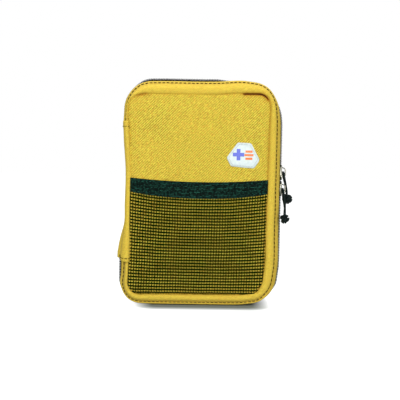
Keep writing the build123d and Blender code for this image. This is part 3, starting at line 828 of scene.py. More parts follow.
def panel_depth(x, z, side):
    edge = max(SEAM.inside(x, z), 0.0)
    depth = HALF_DEPTH - 2.5 * math.exp(-edge / 1.5)
    depth += 1.3 * smooth(edge, 0.0, 45.0)
    seed = 11.0 * side
    depth += 0.55 * smooth(edge, 1.0, 14.0) * wobble(x, 0, z, 46, seed)
    depth += 0.22 * smooth(edge, 1.0, 6.0) * wobble(x, 0, z, 12, seed + 4)
    return depth + 0.30 * math.exp(-edge / 5.0) * wobble(x, 0, z, 5.5, seed + 8)


def painted_seam_shade(x, z):
    """How much painted shade the panel's seam gets in its fold, most at the right of the top and in the top
    left corner.
    """
    top = smooth(z, 204, 213) * (0.12 + 2.2 * plateau(x, 36, 43, 62, 70))
    corner = 1.5 * math.exp(-((x + 62) ** 2 + (z - 212) ** 2) / 50)
    return max(0.12, 0.55 * smooth(x, 52, 64), top, corner, 0.7 * (1 - smooth(z, 8, 20)))


def panel(side):
    flat, faces = fill([WHOLE.at(s, SEAM_INSET - 0.6, 0.0, SEAM_DROP) for s in WHOLE.steps(3.0)[:-1]], 3.0)
    verts = [place(x, panel_depth(x, z, side), z, side) for x, z in flat]
    piece = new_object(WORD[side] + "_canvas", verts, faces, CANVAS)
    edges = [max(SEAM.inside(x, z), 0.0) for x, z in flat]
    # painted shade in the seam's fold, fading in from the seam
    painted_fold_shade_layer(piece, [painted_seam_shade(*p) * math.exp(-e / 1.2) for e, p in zip(edges, flat)])
    stand_in(piece, BODY[side], WORD[side] + "_panel", cloth="panel", offset=side)


# ================================================================ the spine
SPINE_SUNK = [  # inset and depth of the sunk middle, from the panel's seam to the closing plane
    (13.0, 23.2), (11.2, 24.2), (10.4, 25.3), (9.2, 25.4), (8.1, 23.6), (7.5, 20.4), (7.2, 16.0),
    (6.9, 11.0), (6.7, 6.0), (6.6, 2.6), (6.5, 0.0),
]
SPINE_HEM = [  # the same over the ends of the border strips
    (13.0, 23.2), (11.2, 25.2), (10.2, 28.0), (7.6, 28.3), (4.8, 26.2), (3.2, 21.2), (2.5, 15.0),
    (2.1, 11.4), (-0.9, 8.0), (-1.3, 4.0), (-1.3, 0.0),
]
HEM_SLANT = 3.2  # how much higher the lower hem runs at the fold than at the seams
HEM_WIDTH = 8.0
SPINE_STITCHES = (3.4, 5.6)  # in from the lower hem's edge and the upper's


def along_path(points, share):
    """The point at a share of a broken line's length, its corners eased."""
    lengths = [math.dist(a, b) for a, b in zip(points, points[1:])]
    left = share * sum(lengths)
    for (a, b), long in zip(zip(points, points[1:]), lengths):
        if left <= long or (a, b) == (points[-2], points[-1]):
            t = min(1.0, left / long)
            return [p + (q - p) * t for p, q in zip(a, b)]
        left -= long


def spine_point(share, up):
    """share goes from the front panel's seam round to the back's; up from the lower hem to the upper."""
    side = FRONT if share < 0.5 else BACK
    inwards = 1 - abs(2 * share - 1)
    z = SPINE_LOW + (SPINE_HIGH - SPINE_LOW) * up
    sunk = plateau(z, SPINE_LOW + 4, SPINE_LOW + 48, SPINE_HIGH - 56, SPINE_HIGH - 2)
    hem_inset, hem_depth = along_path(SPINE_HEM, inwards)
    inset, depth = along_path(SPINE_SUNK, inwards)
    inset -= 1.4 * smooth(inwards, 0.1, 0.35)
    inset += (hem_inset + 2.4 * up * (1 - smooth(depth, 9.0, 15.0)) - inset) * (1 - sunk)
    depth += (hem_depth - depth) * (1 - sunk)
    inset *= 1 + left_shift(z) / SEAM_INSET * smooth(depth, 18.0, 24.0)
    loose = smooth(inwards, 0.15, 0.5)
    across = depth * side
    inset += sunk * loose * (0.9 * wobble(across, 0, z, 30, 21) + 0.3 * wobble(across, 3, z, 9, 27))
    hem = max(1 - smooth(z, SPINE_LOW + HEM_WIDTH - 0.8, SPINE_LOW + HEM_WIDTH),
              smooth(z, SPINE_HIGH - HEM_WIDTH, SPINE_HIGH - HEM_WIDTH + 0.8))
    inset -= 0.35 * hem * smooth(inwards, 0.1, 0.2)
    z += HEM_SLANT * (inwards - 0.35) * (1 - up)
    return place(-WIDTH / 2 + inset, depth, z, side)


def spine():
    across = [i / 60 for i in range(61)]
    up = [i / 90 for i in range(91)]
    verts = [spine_point(a, u) for u in up for a in across]
    piece = new_object("spine_canvas", verts, grid_faces(len(up), len(across)), STRIP)
    thicken(piece, "spine", -1.0)
    outwards(piece)
    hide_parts("spine_front", "spine_back")
    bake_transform(piece)
    for side in (FRONT, BACK):
        bundle = Bundle()
        low, high = (inwards / (SPINE_HIGH - SPINE_LOW) for inwards in SPINE_STITCHES)
        for at in (low, 1 - high):
            shares = [0.035 + 0.325 * i / 30 for i in range(31)]
            shares = shares if side == FRONT else [1 - s for s in shares]
            normals = []
            for s in shares:
                a, b = spine_point(s - 0.01, at), spine_point(s + 0.01, at)
                normals.append((b - a).cross(Vector((0, 0, 1))).normalized() * -1)
            points = [spine_point(s, at) + n * 0.9 * MM for s, n in zip(shares, normals)]
            stitch_row(bundle, points, normals, length=2.8, gap=0.9, thread=0.9)
        bundle.make(WORD[side] + "_spine_stitches", STITCH, BODY[side])


# ================================================================ the net pocket
BAND_TOP = 130.6  # height of its upper edge at its ends
BAND_SAG = 3.4  # how much lower that runs in the middle
BAND_HEIGHT = 16.8
BAND_PINCH = 2.4  # how much narrower its ends are
BAND_RIBS = 8.5
BAND_MIDDLE = 8.0  # from the band's top down to where its ends are found
NET_FOOT = 10.0  # height of the lowest row
NET_ROW = 3.1
NET_COLUMN = 2.7
NET_EDGE = 10.6  # from the hem in to the net's edge
FRONT_STRANDS = ((1.32, 0.45), (0.84, 0.4))  # width and depth of the level strands, then of the uprights


def band_line(x):
    """Height of the band's top edge."""
    u = x / (WIDTH / 2 - SEAM_INSET)
    return BAND_TOP - BAND_SAG * (1 - min(1.0, u * u))


def band_foot(x):
    """Height of its lower edge: the seams pinch its ends narrower."""
    u = x / (WIDTH / 2 - SEAM_INSET)
    return band_line(x) - BAND_HEIGHT + BAND_PINCH * min(1.0, abs(u)) ** 3


def pocket_out(x, z):
    """How far the pocket stands out from the panel."""
    edge = max(SEAM.inside(x, min(z, HEIGHT / 2)), 0.0)
    out = 0.4 + 0.4 * smooth(edge, 0.0, 8.0) + 0.5 * smooth(edge, 6.0, 30.0)
    return out + 0.3 * wobble(x, 0, z, 24, 31) * smooth(edge, 0.0, 8.0)


def pocket_point(x, z, out=0.0):
    return place(x, panel_depth(x, z, FRONT) + pocket_out(x, z) + out, z, FRONT)


def pocket_edge(inset):
    """The pocket's sides and foot along the panel's seam, from the band's left end to its right end."""
    points = []
    for s in WHOLE.steps(2.2)[:-1]:
        x, z = WHOLE.at(s, inset)
        if z < band_foot(x) + 1.5:
            points.append((x, z))
    start = max(range(len(points)), key=lambda i: math.dist(points[i], points[i - 1]))
    return points[start:] + points[:start]


def weave_net(bundle, at, columns, rows, flat, upright, sides=6, stagger=0.5):
    """Zigzag rows joined by short uprights; stagger 0 sets the holes one above the other. at gives a point in
    the frame, or None outside the net; flat and upright are the strands' widths and depths."""
    def strand(a, b, wide, deep):
        start, end = at(*a), at(*b)
        if start is None or end is None:
            return
        axis = (end - start).normalized()
        out = Vector((0, -1, 0)) if abs(axis.y) < 0.7 else Vector((1, 0, 0))
        across = axis.cross(out).normalized()
        out = across.cross(axis)
        verts = []
        for p in (start - axis * 0.15 * MM, end + axis * 0.15 * MM):
            for k in range(sides):
                turn = 2 * math.pi * k / sides
                sideways = across * (wide / 2 * math.cos(turn)) * MM
                verts.append(p + sideways + out * (deep / 2 * math.sin(turn)) * MM)
        bundle.add(verts, tube_faces(2, sides))

    for row in range(rows + 1):
        for column in range(columns):
            x = column + stagger * (row % 2)
            strand((x, row - 0.13), (x + 0.5, row + 0.13), *flat)
            strand((x + 0.5, row + 0.13), (x + 1, row - 0.13), *flat)
            if row < rows:
                strand((x + 0.5, row + 0.1), (x + 0.5, row + (0.9 if stagger else 1.1)), *upright)


def net():
    bundle = Bundle()
    left = NET_EDGE - WIDTH / 2 - 4.0
    columns = round((WIDTH / 2 - NET_EDGE - left) / NET_COLUMN)
    rows = round((band_foot(0) - NET_FOOT) / NET_ROW) + 1

    def at(column, row):
        x = left + column * NET_COLUMN
        top = band_foot(x) + 1.2
        z = NET_FOOT + (top - NET_FOOT) * row / rows
        x += 0.35 * wobble(x, 0, z, 16, 41)
        z += 0.30 * wobble(x, 5, z, 16, 43)
        return pocket_point(x, z) if SEAM.inside(x, z) > NET_EDGE - SEAM_INSET else None

    weave_net(bundle, at, columns, rows, *FRONT_STRANDS, stagger=0.0)
    edge = [pocket_point(x, z, -0.2) for x, z in pocket_edge(NET_EDGE)]
    bundle.add(*tube(edge, 0.95, sides=8))
    return bundle.make("pocket_net", NET, "cover", "net_pocket")


def band():
    across = [-1 + 2 * i / 140 for i in range(141)]
    down = [i / 51 for i in range(52)]
    ends = []
    for way in (-1, 1):
        at_side = [p for p in SEAM.points if p.x * way >= 0]
        ends.append(min(at_side, key=lambda p: abs(p.y - BAND_TOP + BAND_MIDDLE)).x + 0.8 * way)
    verts = []
    for t in down:
        for u in across:
            x = ends[0] + (ends[1] - ends[0]) * (u + 1) / 2
            z = band_line(x) + (band_foot(x) - band_line(x)) * t
            rib = abs(math.sin(math.pi * BAND_RIBS * t)) ** 0.7
            yarn = 0.10 * math.sin(x * 4.1 + 3.0 * wobble(x, 0, z, 6, 51)) * rib
            verts.append(pocket_point(x, z + 0.12 * wobble(x, 0, z, 3, 57), 0.35 + 0.42 * rib + yarn))
    piece = new_object("pocket_elastic", verts, grid_faces(len(down), len(across)), BAND)
    stand_in(piece, "cover", "pocket_band", cloth="band", offset=1.0)
    return piece


# ================================================================ the patch
PATCH_CENTRE = (41.5, 155.5)
PATCH_OUTLINE = [(-5.8, 12.6), (7.9, 12.0), (17.3, -5.0), (11.9, -13.7), (-12.0, -11.9), (-16.7, -3.2)]
PATCH_THICK = 1.3


def bend(before, at, after, reach):
    """Points round a corner, from reach before it to reach past it."""
    a, b = (at + (other - at).normalized() * reach for other in (before, after))
    return [a.lerp(at, k / 6).lerp(at.lerp(b, k / 6), k / 6) for k in range(7)]


def rounded(outline, radius):
    """A closed outline with its corners rounded."""
    corners, points = [Vector(p) for p in outline], []
    for before, at, after in zip(corners[-1:] + corners, corners, corners[1:] + corners[:1]):
        points += bend(before, at, after, radius)
    return points


def eased(path):
    """An open broken line with its corners rounded."""
    corners = [Vector(p) for p in path]
    points = corners[:1]
    for before, at, after in zip(corners, corners[1:], corners[2:]):
        points += bend(before, at, after, min((before - at).length, (after - at).length) * 0.35)
    return points + corners[-1:]


def edge_distance(p, outline):
    best = 1e9
    for a, b in zip(outline, outline[1:] + outline[:1]):
        run = b - a
        t = min(1.0, max(0.0, (p - a).dot(run) / run.length_squared))
        best = min(best, (p - a - run * t).length)
    return best


def patch():
    outline = rounded(PATCH_OUTLINE, 1.8)
    centre = Vector(PATCH_CENTRE)
    flat, faces = fill([tuple(p) for p in outline], 0.8)
    verts = []
    for p in flat:
        edge = edge_distance(p, outline)
        x, z = p + centre
        puff = PATCH_THICK * (0.25 + 0.75 * smooth(edge, 0.0, 0.9))
        puff -= 0.22 * math.exp(-((edge - 1.9) / 0.5) ** 2)
        verts.append(place(x, panel_depth(x, z, FRONT) + puff, z, FRONT))
    middle = place(centre.x, 0, centre.y, FRONT)
    piece = new_object("patch_face", verts, faces, patch_face("patch", middle))
    stand_in(piece, "cover", "patch", cloth="patch", offset=FRONT)
    inner = rounded([tuple(Vector(p) * (1 - 2.2 / Vector(p).length)) for p in PATCH_OUTLINE], 1.2)
    bundle = Bundle()
    points = [Vector(p) + centre for p in inner + inner[:1]]
    line = [place(x, panel_depth(x, z, FRONT) + PATCH_THICK - 0.05, z, FRONT) for x, z in points]
    stitch_row(bundle, line, [Vector((0, -1, 0))] * len(line), length=0.95, gap=0.65, thread=0.42, sunk=0.05)
    bundle.make("patch_stitches", GREY_STITCH, "cover")


# ================================================================ the sliders
SLIDER_OUTLINE = [  # half of a plate: across, and from the nose
    (0.0, 1.2), (1.6, 0.0), (3.8, 0.1), (5.2, 2.4), (5.2, 5.6), (4.1, 9.4), (4.1, 14.2), (3.0, 15.5),
]
OUTER_PLATE = (83.3, 84.6)  # x of its two faces
INNER_PLATE = (78.7, 80.0)
CROWN_PATH = [(84.3, 2.9), (85.2, 3.1), (88.45, 4.6), (88.45, 11.6), (85.2, 13.1), (84.3, 13.3)]
CROWN_WIDE, CROWN_THICK = 3.0, 1.1
NOSE_GAP = 0.6  # from where the noses meet to either nose


def bevel(piece, width):
    modify(piece, "BEVEL", width=width * MM, segments=3, limit_method="ANGLE", angle_limit=math.radians(28),
           use_clamp_overlap=True)
    shade_smooth(piece.data)


def squarish(angle, power):
    """Cosine and sine of an angle on a circle with four soft corners."""
    return (math.copysign(abs(v) ** power, v) for v in (math.cos(angle), math.sin(angle)))


def slider(node, up):
    """up is +1 where the nose points down, -1 where it points up; the body has the node's name."""
    name = node + "_metal"
    nose = SLIDERS_MEET + up * NOSE_GAP

    def spot(x, across, from_nose):
        return case_point(x, across, nose + up * from_nose)

    made = []
    outline = SLIDER_OUTLINE + [(-w, h) for w, h in reversed(SLIDER_OUTLINE) if w > 0]
    for plate in (OUTER_PLATE, INNER_PLATE):
        verts = [spot(x, w, h) for x in plate for w, h in outline]
        made.append((verts, tube_faces(2, len(outline)), 0.38))
    for sign in (-1, 1):  # the outer plate's turned-in edges
        run = [(3.2, 3.0), (3.4, 5.4), (3.1, 9.0), (3.1, 14.0)]
        verts = [spot(x, sign * (w + more), h) for w, h in run for x, more in
                 ((82.5, 0.9), (82.5, 1.7), (83.6, 1.8), (83.6, 0.9))]
        made.append((verts, tube_faces(4, 4), 0.2))
    blade = [(1.2, -0.3), (1.2, 0.3), (3.6, 0.75), (7.4, 0.25), (7.4, -0.25), (3.6, -0.75)]
    verts = [spot(x, w, h) for x in (INNER_PLATE[1] - 0.2, OUTER_PLATE[0] + 0.2) for h, w in blade]
    made.append((verts, tube_faces(2, len(blade)), 0.15))
    path = eased(CROWN_PATH)
    verts, sides = [], 16
    for i, p in enumerate(path):
        run = (path[min(i + 1, len(path) - 1)] - path[max(i - 1, 0)]).normalized()
        away = Vector((run.y, -run.x))
        for k in range(sides):
            c, s = squarish(2 * math.pi * k / sides, 0.5)
            q = p + away * (CROWN_THICK / 2 * s)
            verts.append(spot(q.x, CROWN_WIDE / 2 * c, q.y))
    made.append((verts, tube_faces(len(path), sides), 0.0))

    parts = []
    for i, (verts, faces, width) in enumerate(made):
        part = new_object(name + "_%d" % i, verts, faces, SILVER)
        outwards(part)
        if width:
            bevel(part, width)
        parts.append(part)
    whole = parts[0]
    join(whole, parts[1:])
    whole.name = name
    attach(whole, node)
    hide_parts(node)


# ================================================================ the pulls
# Routes and knots are part.py's: x from the case's middle, then back from the closing plane, then height.
CORD = 2.4
CORD_STEP = 0.35  # between the points along a cord
UPPER_KNOT = (92.1, 10.2, 109.6)
LOWER_KNOT = (86.8, -18.05, 90.4)
UPPER_ROUTE = [
    (91.4, 8.6, 113.4), (91.4, 8.6, 116.6), (90.1, 6.0, 122.8), (87.5, -2.9, 131.0), (86.1, -3.0, 137.5),
    (86.1, 3.0, 137.5), (87.3, 3.3, 131.2), (90.5, 9.2, 122.0), (91.8, 11.6, 116.6), (91.8, 11.6, 113.4),
]
LOWER_ROUTE = [
    (86.4, -19.4, 93.4), (86.4, -19.4, 96.4), (87.6, -12.8, 103.5), (87.3, -3.4, 112.2), (86.1, -3.0, 120.1),
    (86.1, 3.0, 120.1), (86.9, 3.0, 111.8), (87.9, -8.6, 101.8), (87.2, -16.7, 96.4), (87.2, -16.7, 93.4),
]


def case_point(x, back, z):
    return Vector((CENTRE_X + x, CLOSING_Y + back, z)) * MM


def route_line(name, route):
    """Points along the smooth curve that has the route for its control points."""
    curve = bpy.data.curves.new(name, "CURVE")
    curve.dimensions = "3D"
    curve.resolution_u = 16
    spline = curve.splines.new("NURBS")
    spline.points.add(len(route) - 1)
    for point, at in zip(spline.points, route):
        point.co = (*case_point(*at), 1.0)
    spline.order_u = 3
    spline.use_endpoint_u = True
    holder = bpy.data.objects.new(name, curve)
    line = bpy.data.meshes.new_from_object(holder)
    points = [v.co.copy() for v in line.vertices]
    bpy.data.objects.remove(holder)
    bpy.data.curves.remove(curve)
    bpy.data.meshes.remove(line)
    return points


def resampled(points):
    """The same line with points at even distances."""
    travelled = travel(points)
    count, found, k = max(2, round(travelled[-1] / (CORD_STEP * MM))), [], 0
    for i in range(count + 1):
        distance = travelled[-1] * i / count
        while k < len(points) - 2 and travelled[k + 1] < distance:
            k += 1
        share = (distance - travelled[k]) / max(travelled[k + 1] - travelled[k], 1e-9)
        found.append(points[k].lerp(points[k + 1], min(1.0, share)))
    return found


def tube(points, radius, sides=16, relief=None):
    """A round tube along a line; relief adds to its radius by angle and distance."""
    verts, up, travelled = [], None, 0.0
    for i, p in enumerate(points):
        along = (points[min(i + 1, len(points) - 1)] - points[max(i - 1, 0)]).normalized()
        up = along.orthogonal() if up is None else up
        up = (up - along * up.dot(along)).normalized()
        across = along.cross(up)
        travelled += (p - points[i - 1]).length / MM if i else 0.0
        for k in range(sides):
            angle = 2 * math.pi * k / sides
            r = (radius + (relief(angle, travelled) if relief else 0.0)) * MM
            verts.append(p + up * (r * math.cos(angle)) + across * (r * math.sin(angle)))
    return verts, tube_faces(len(points), sides)


def braid_relief(angle, distance):
    one = abs(math.sin(2 * angle + 1.15 * distance))
    other = abs(math.sin(2 * angle - 1.15 * distance))
    return 0.16 * (max(one, other) - 0.9)


def pull(name, route, knot_at, size, tilt):
    body = name + "_pull"
    line = resampled(route_line(name + "_line", route))
    verts, faces = tube(line, CORD / 2, relief=braid_relief)
    piece = new_object(name + "_cord_braid", verts, faces, BRAID, body)
    outwards(piece)
    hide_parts(name + "_cord")

    knot = Bundle()
    centre, turn = case_point(*knot_at), Matrix.Rotation(tilt[0], 3, "X") @ Matrix.Rotation(tilt[1], 3, "Y")
    ring, minor = size * 0.47, size * 0.27
    loop = []  # a trefoil, not quite closed
    for i in range(121):
        t = 0.12 + 2 * math.pi * 0.985 * i / 120
        radial = ring + minor * math.cos(3 * t)
        loop.append(centre + turn @ Vector((
            radial * math.cos(2 * t), radial * math.sin(2 * t), 1.15 * minor * math.sin(3 * t),
        )) * MM)
    knot.add(*tube(resampled(loop), minor, relief=braid_relief))
    for across, lean in ((-1.3, -0.8), (1.2, 0.7)):
        top = centre + Vector((across * 0.6, across * 0.5, 0)) * MM
        tail = [top + Vector((lean * t * t, across * 0.5 * t, -(size * 0.95) * t)) * MM
                for t in (0, 0.4, 0.7, 1.0)]
        knot.add(*tube(resampled(tail), CORD / 2 * 0.92, relief=braid_relief))
    tied = knot.make(name + "_knot_tied", BRAID, body, name + "_knot")


def pulls():
    pull("upper", UPPER_ROUTE, UPPER_KNOT, 6.2, (0.5, 0.35))
    pull("lower", LOWER_ROUTE, LOWER_KNOT, 5.2, (0.9, -0.4))


# ================================================================ the inside
LINING_WALL = [  # inset, depth and sag under the case, from the zipper tape to the floor
    (5.9, 12.0, 1.8), (6.5, 15.0, 1.6), (8.0, 18.6, 1.2),
    (10.0, 20.8, 0.7), (12.4, 21.8, 0.3), (15.0, 22.6, 0.0),
]
LINING_DEPTH = 23.4  # from the closing plane to the lining's floor


def lining(side):
    """Ripstop lining: a soft floor against the panel, turned up along the border strip."""
    def ring_point(s, inset, depth, sag):
        _, at_z, nx, _ = WHOLE.base(s)
        further = 4.4 - left_shift(at_z) * smooth(inset, 2.0, SEAM_INSET)
        x, z = WHOLE.at(s, inset + further * max(0.0, -nx) ** 2, sag, SEAM_DROP)
        return x, depth + 0.3 * wobble(x, depth, z, 14, 61 * side), z

    rim = WHOLE.steps(3.0)[:-1]
    wall = [place(*ring_point(s, *row), side) for s in rim for row in LINING_WALL]
    edge = [ring_point(s, *LINING_WALL[-1]) for s in rim]
    flat, faces = fill([(x, z) for x, _, z in edge], 4.0)
    at_edge = {(round(x, 3), round(z, 3)): depth for x, depth, z in edge}
    floor = []
    for x, z in flat:
        away = min(30.0, max(0.0, SEAM.inside(x, z) - 4.0))
        depth = LINING_DEPTH - 0.8 * math.exp(-away / 3.0) - 0.25 * abs(wobble(x, 0, z, 17, 67 * side))
        floor.append(place(x, at_edge.get((round(x, 3), round(z, 3)), depth), z, side))
    name = WORD[side] + "_lining_cloth"
    piece = new_object(name, wall, grid_faces(len(rim), len(LINING_WALL), closed_rows=True), LINING)
    join(piece, [new_object(name + "_floor", floor, faces, LINING)])
    merge(piece)
    shade_smooth(piece.data)
    stand_in(piece, BODY[side], WORD[side] + "_lining", cloth="lining", offset=side)


def box_outline(half, deep):
    """A soft-cornered U: across, and out from the lining."""
    corners = (squarish(math.pi * (1 - i / 24), 0.4) for i in range(25))
    return [(half * across, deep * out) for across, out in corners]


INNER_STRANDS = ((0.84, 0.7), (0.68, 0.6))  # as FRONT_STRANDS
INNER_CELL = 3.6
BINDING_WIDTH = 9.0


def inner_pocket(node, side):
    """A pouch of open net sewn to the lining, with a bound edge."""
    low, high = node_box(node)
    tall, outline = high.z - low.z, box_outline((high.x - low.x) / 2 - 0.4, high.y - low.y - 0.5)
    shares = [along_path(outline, i / 200) for i in range(201)]
    base_y, middle = (high.y if side == BACK else low.y), (low.x + high.x) / 2

    def at(u, v, out=0.0):
        k = min(1.0, max(0.0, u)) * 200
        a, b = shares[int(k)], shares[min(200, int(k) + 1)]
        x, proud = (p + (q - p) * (k - int(k)) for p, q in zip(a, b))
        rise = (1 - (1 - min(1.0, max(0.0, v * tall / 9.0))) ** 2.4) ** (1 / 2.4)
        slack = 1.2 * math.sin(math.pi * u) * (v ** 3) + 0.4 * wobble(x, 0, v * tall, 20, 71 * side)
        proud = max(0.2, proud * rise - 0.8 * slack * smooth(proud, 2.0, 6.0)) + out
        return Vector((middle + x, base_y - side * proud, low.z + tall * v)) * MM

    around = sum(math.dist(a, b) for a, b in zip(outline, outline[1:]))
    columns, rows = round(around / INNER_CELL), round(tall / INNER_CELL)
    bundle = Bundle()
    weave_net(bundle, lambda c, r: at(c / columns, r / rows) if c <= columns and 0 <= r <= rows else None,
              columns, rows, *INNER_STRANDS, sides=5)
    seam = [at(u, v) for u, v in [(0, 1 - i / 20) for i in range(20)] + [(i / 60, 0.0) for i in range(61)]
            + [(1, i / 20) for i in range(1, 21)]]
    bundle.add(*tube(seam, 0.7, sides=6))
    piece = bundle.make(node + "_net", INNER_NET, BODY[side], node)

    foot, middling, under, over = (1 + up / tall for up in (-BINDING_WIDTH, -0.5 * BINDING_WIDTH, -0.6, 0.6))
    fold = [(-0.55, foot), (-0.6, middling), (-0.45, under), (0.0, over)]
    fold += [(0.5, under), (0.75, middling), (0.65, foot)]
    section = [along_path(fold, i / 40) for i in range(41)]
    verts = []
    for j in range(121):
        u = 0.004 + 0.992 * j / 120
        for i, (out, v) in enumerate(section):
            rib = 0.14 * abs(math.sin(math.pi * 5 * i / 40 * 2))
            pleat = 0.12 * wobble(u * around, 0, v * 30, 4, 77)
            verts.append(at(u, v, out + math.copysign(rib, out) + pleat))
    tape = new_object(node + "_edge", verts, grid_faces(121, 41), BINDING)
    stand_in(tape, BODY[side], node + "_binding", cloth="binding")


def roll_centre(node):
    low, high = node_box(node)
    return (low + high) / 2, (high.x - low.x) / 2, high.z - low.z


def round_point(centre, radius, angle, z):
    return (centre + Vector((radius * math.cos(angle), radius * math.sin(angle), z))) * MM


CORE = 2.6  # radius inside a bandage's first turn; each layer adds 1 mm


def bandage(node, material):
    """A bandage wound up in a spiral, its layers seen at the ends."""
    centre, radius, tall = roll_centre(node)
    turns = radius - CORE
    steps = round(turns * 44)
    verts = []
    for i in range(steps + 1):
        turn = turns * i / steps
        angle = 2 * math.pi * turn - 1.1
        out = CORE + (radius - CORE - 0.25) * i / steps
        thick = 0.74 if i < steps - 6 else 0.3
        edge = tall / 2 - 0.5 - 0.55 * abs(wobble(out, turn, 0, 2.2, radius))
        sink = 0.9 * (1 - out / radius) ** 2
        face = [(out, z) for z in (-edge, -edge / 3, edge / 3, edge)]
        for r, z in [(out - thick, -edge + sink), *face, (out - thick, edge - sink)]:
            r += 0.12 * wobble(angle * 4, z, 0, 5, radius)
            verts.append(round_point(centre, r, angle, z))
    piece = new_object(node + "_wound", verts, tube_faces(steps + 1, 6), material)
    stand_in(piece, "back_shell", node)


def tape_roll():
    """A roll of cloth tape with its free end stuck down on the outside."""
    centre, radius, tall = roll_centre("tape_roll")
    core = roll_centre("tape_core")[1] + 0.05
    section = [(core, -0.5), (core + 0.4, -0.5)]
    rings = round((radius - core) / 0.5)
    for i in range(1, rings * 2):
        share = i / (rings * 2)
        z = -0.5 + 0.004 * (i % 2) + 0.006 * math.sin(9 * share)
        section.append((core + (radius - core - 0.2) * share, z))
    section += [(radius - 0.2, -0.496), (radius, -0.47), (radius, 0.47), (radius - 0.2, 0.496)]
    section += [(r, -z) for r, z in reversed(section[:-4])]
    verts, turns = [], 120
    for k in range(turns):
        angle = 2 * math.pi * k / turns - 0.8
        step = 0.35 * (1 - k / turns)
        for r, z in section:
            out = r - step * smooth(r, core + 1.0, radius)
            verts.append(round_point(centre, out, angle, z * tall))
    piece = new_object("tape_roll_wound", verts, grid_faces(turns, len(section), True, True), TAPE_CLOTH)
    stand_in(piece, "back_shell", "tape_roll")


def strap():
    """One elastic strap, up and over each roll, down to the lining between them, and over the tweezers."""
    low, high = node_box("elastic_strap")
    base = high.y
    path = [(low.x, 0.7)]
    for node in ("bandage_roll_large", "bandage_roll_small", "tape_roll"):
        centre, radius, _ = roll_centre(node)
        reach, out = radius + 1.0, base - centre.y
        path += [(centre.x - reach - 2.0, 0.7), (centre.x - reach, 2.0)]
        for i in range(25):
            angle = math.pi * (1 - i / 24)
            path.append((centre.x + reach * math.cos(angle), out + reach * math.sin(angle)))
        path += [(centre.x + reach, 2.0), (centre.x + reach + 2.0, 0.7)]
    held_low, held_high = node_box("tweezers")
    over = base - held_low.y + 1.0
    rise = [(-2.4, 0.7), (-0.9, 2.0), (-0.9, over - 1.2), (0.8, over)]
    path += [(held_low.x + x, out) for x, out in rise] + [(held_high.x - x, out) for x, out in reversed(rise)]
    path.append((high.x, 0.7))
    count, down = 420, 45
    verts = []
    for i in range(count + 1):
        x, out = along_path(path, i / count)
        x2, out2 = along_path(path, min(1.0, i / count + 0.002))
        x1, out1 = along_path(path, max(0.0, i / count - 0.002))
        run = Vector((x2 - x1, out2 - out1)).normalized()
        away = Vector((-run.y, run.x))
        for j in range(down + 1):
            share = j / down
            rib = 0.28 * abs(math.sin(math.pi * 9 * share)) ** 0.7
            z = low.z + (high.z - low.z) * share + 0.15 * wobble(i, 0, 0, 9, 81)
            verts.append(Vector((x + away.x * rib, base - out - away.y * rib, z)) * MM)
    piece = new_object("elastic_strap_loops", verts, grid_faces(count + 1, down + 1), ELASTIC_STRAP)
    stand_in(piece, "back_shell", "elastic_strap", cloth="strap")
    length = sum(math.dist(a, b) for a, b in zip(path, path[1:]))


CRIMP = 4.0  # sets how far in from its ends a packet lies flat


def sachet(bundle, low, high, seed):
    """A sealed packet: two sheets swollen round what is in it, crimped flat at both ends and cut in teeth."""
    size, middle = high - low, (low + high) / 2
    columns, rows = 44, 56
    front, back = [], []
    for i in range(rows + 1):
        v = -1 + 2 * i / rows
        for j in range(columns + 1):
            u = -1 + 2 * j / columns
            end = smooth((1 - abs(v)) * size.z / 2, CRIMP * 0.8, CRIMP * 2.6)
            edge = smooth((1 - abs(u)) * size.x / 2, 0.8, 5.0)
            thick = 0.16 + (size.y / 2 - 0.3) * (end ** 0.6) * (edge ** 0.6)
            x, z = u * size.x / 2, v * size.z / 2
            wrinkle = 0.07 * size.y * end * edge
            wrinkle *= wobble(x, 0, z, 9, seed) + 0.5 * wobble(x, 0, z, 3.5, seed + 3)
            flute = 0.10 * math.sin(x * 5.2) * (1 - end) * (abs(v) > 0.5)
            teeth = 0.35 * (j % 2) * (i in (0, rows))
            if abs(u) > 0.98:
                x -= math.copysign(abs(0.8 * (1 - abs(v)) * wobble(0, 0, z, 11, seed)), x)
            z -= math.copysign(teeth, z)
            most = size.y / 2 - 0.05
            front.append((middle + Vector((x, -min(thick + wrinkle, most) + flute, z))) * MM)
            back.append((middle + Vector((x, min(thick - wrinkle, most) + flute, z))) * MM)
    count = (rows + 1) * (columns + 1)
    sheet = grid_faces(rows + 1, columns + 1)
    faces = sheet + [tuple(count + i for i in reversed(face)) for face in sheet]
    wide = columns + 1
    rim = list(range(wide)) + [(i + 1) * wide - 1 for i in range(1, rows + 1)]
    rim += [rows * wide + j for j in range(columns - 1, -1, -1)] + [i * wide for i in range(rows - 1, 0, -1)]
    faces += [(a, count + a, count + b, b) for a, b in zip(rim, rim[1:] + rim[:1])]
    bundle.add(front + back, faces)


def packet(node, material, count=1):
    low, high = node_box(node)
    bundle = Bundle()
    slip = Vector((0.5, 0, 0.8)) if count > 1 else Vector()
    for k in range(count):
        near = Vector((low.x, low.y + (high.y - low.y) * k / count, low.z)) + slip * (k % 2)
        far = Vector((high.x, low.y + (high.y - low.y) * (k + 1) / count, high.z)) - slip * (1 - k % 2)
        sachet(bundle, near, far, 91 + 7 * k + low.x)
    body = "cover" if (low.y + high.y) / 2 < CLOSING_Y else "back_shell"
    piece = bundle.make(node + "_packet", material, body, node)


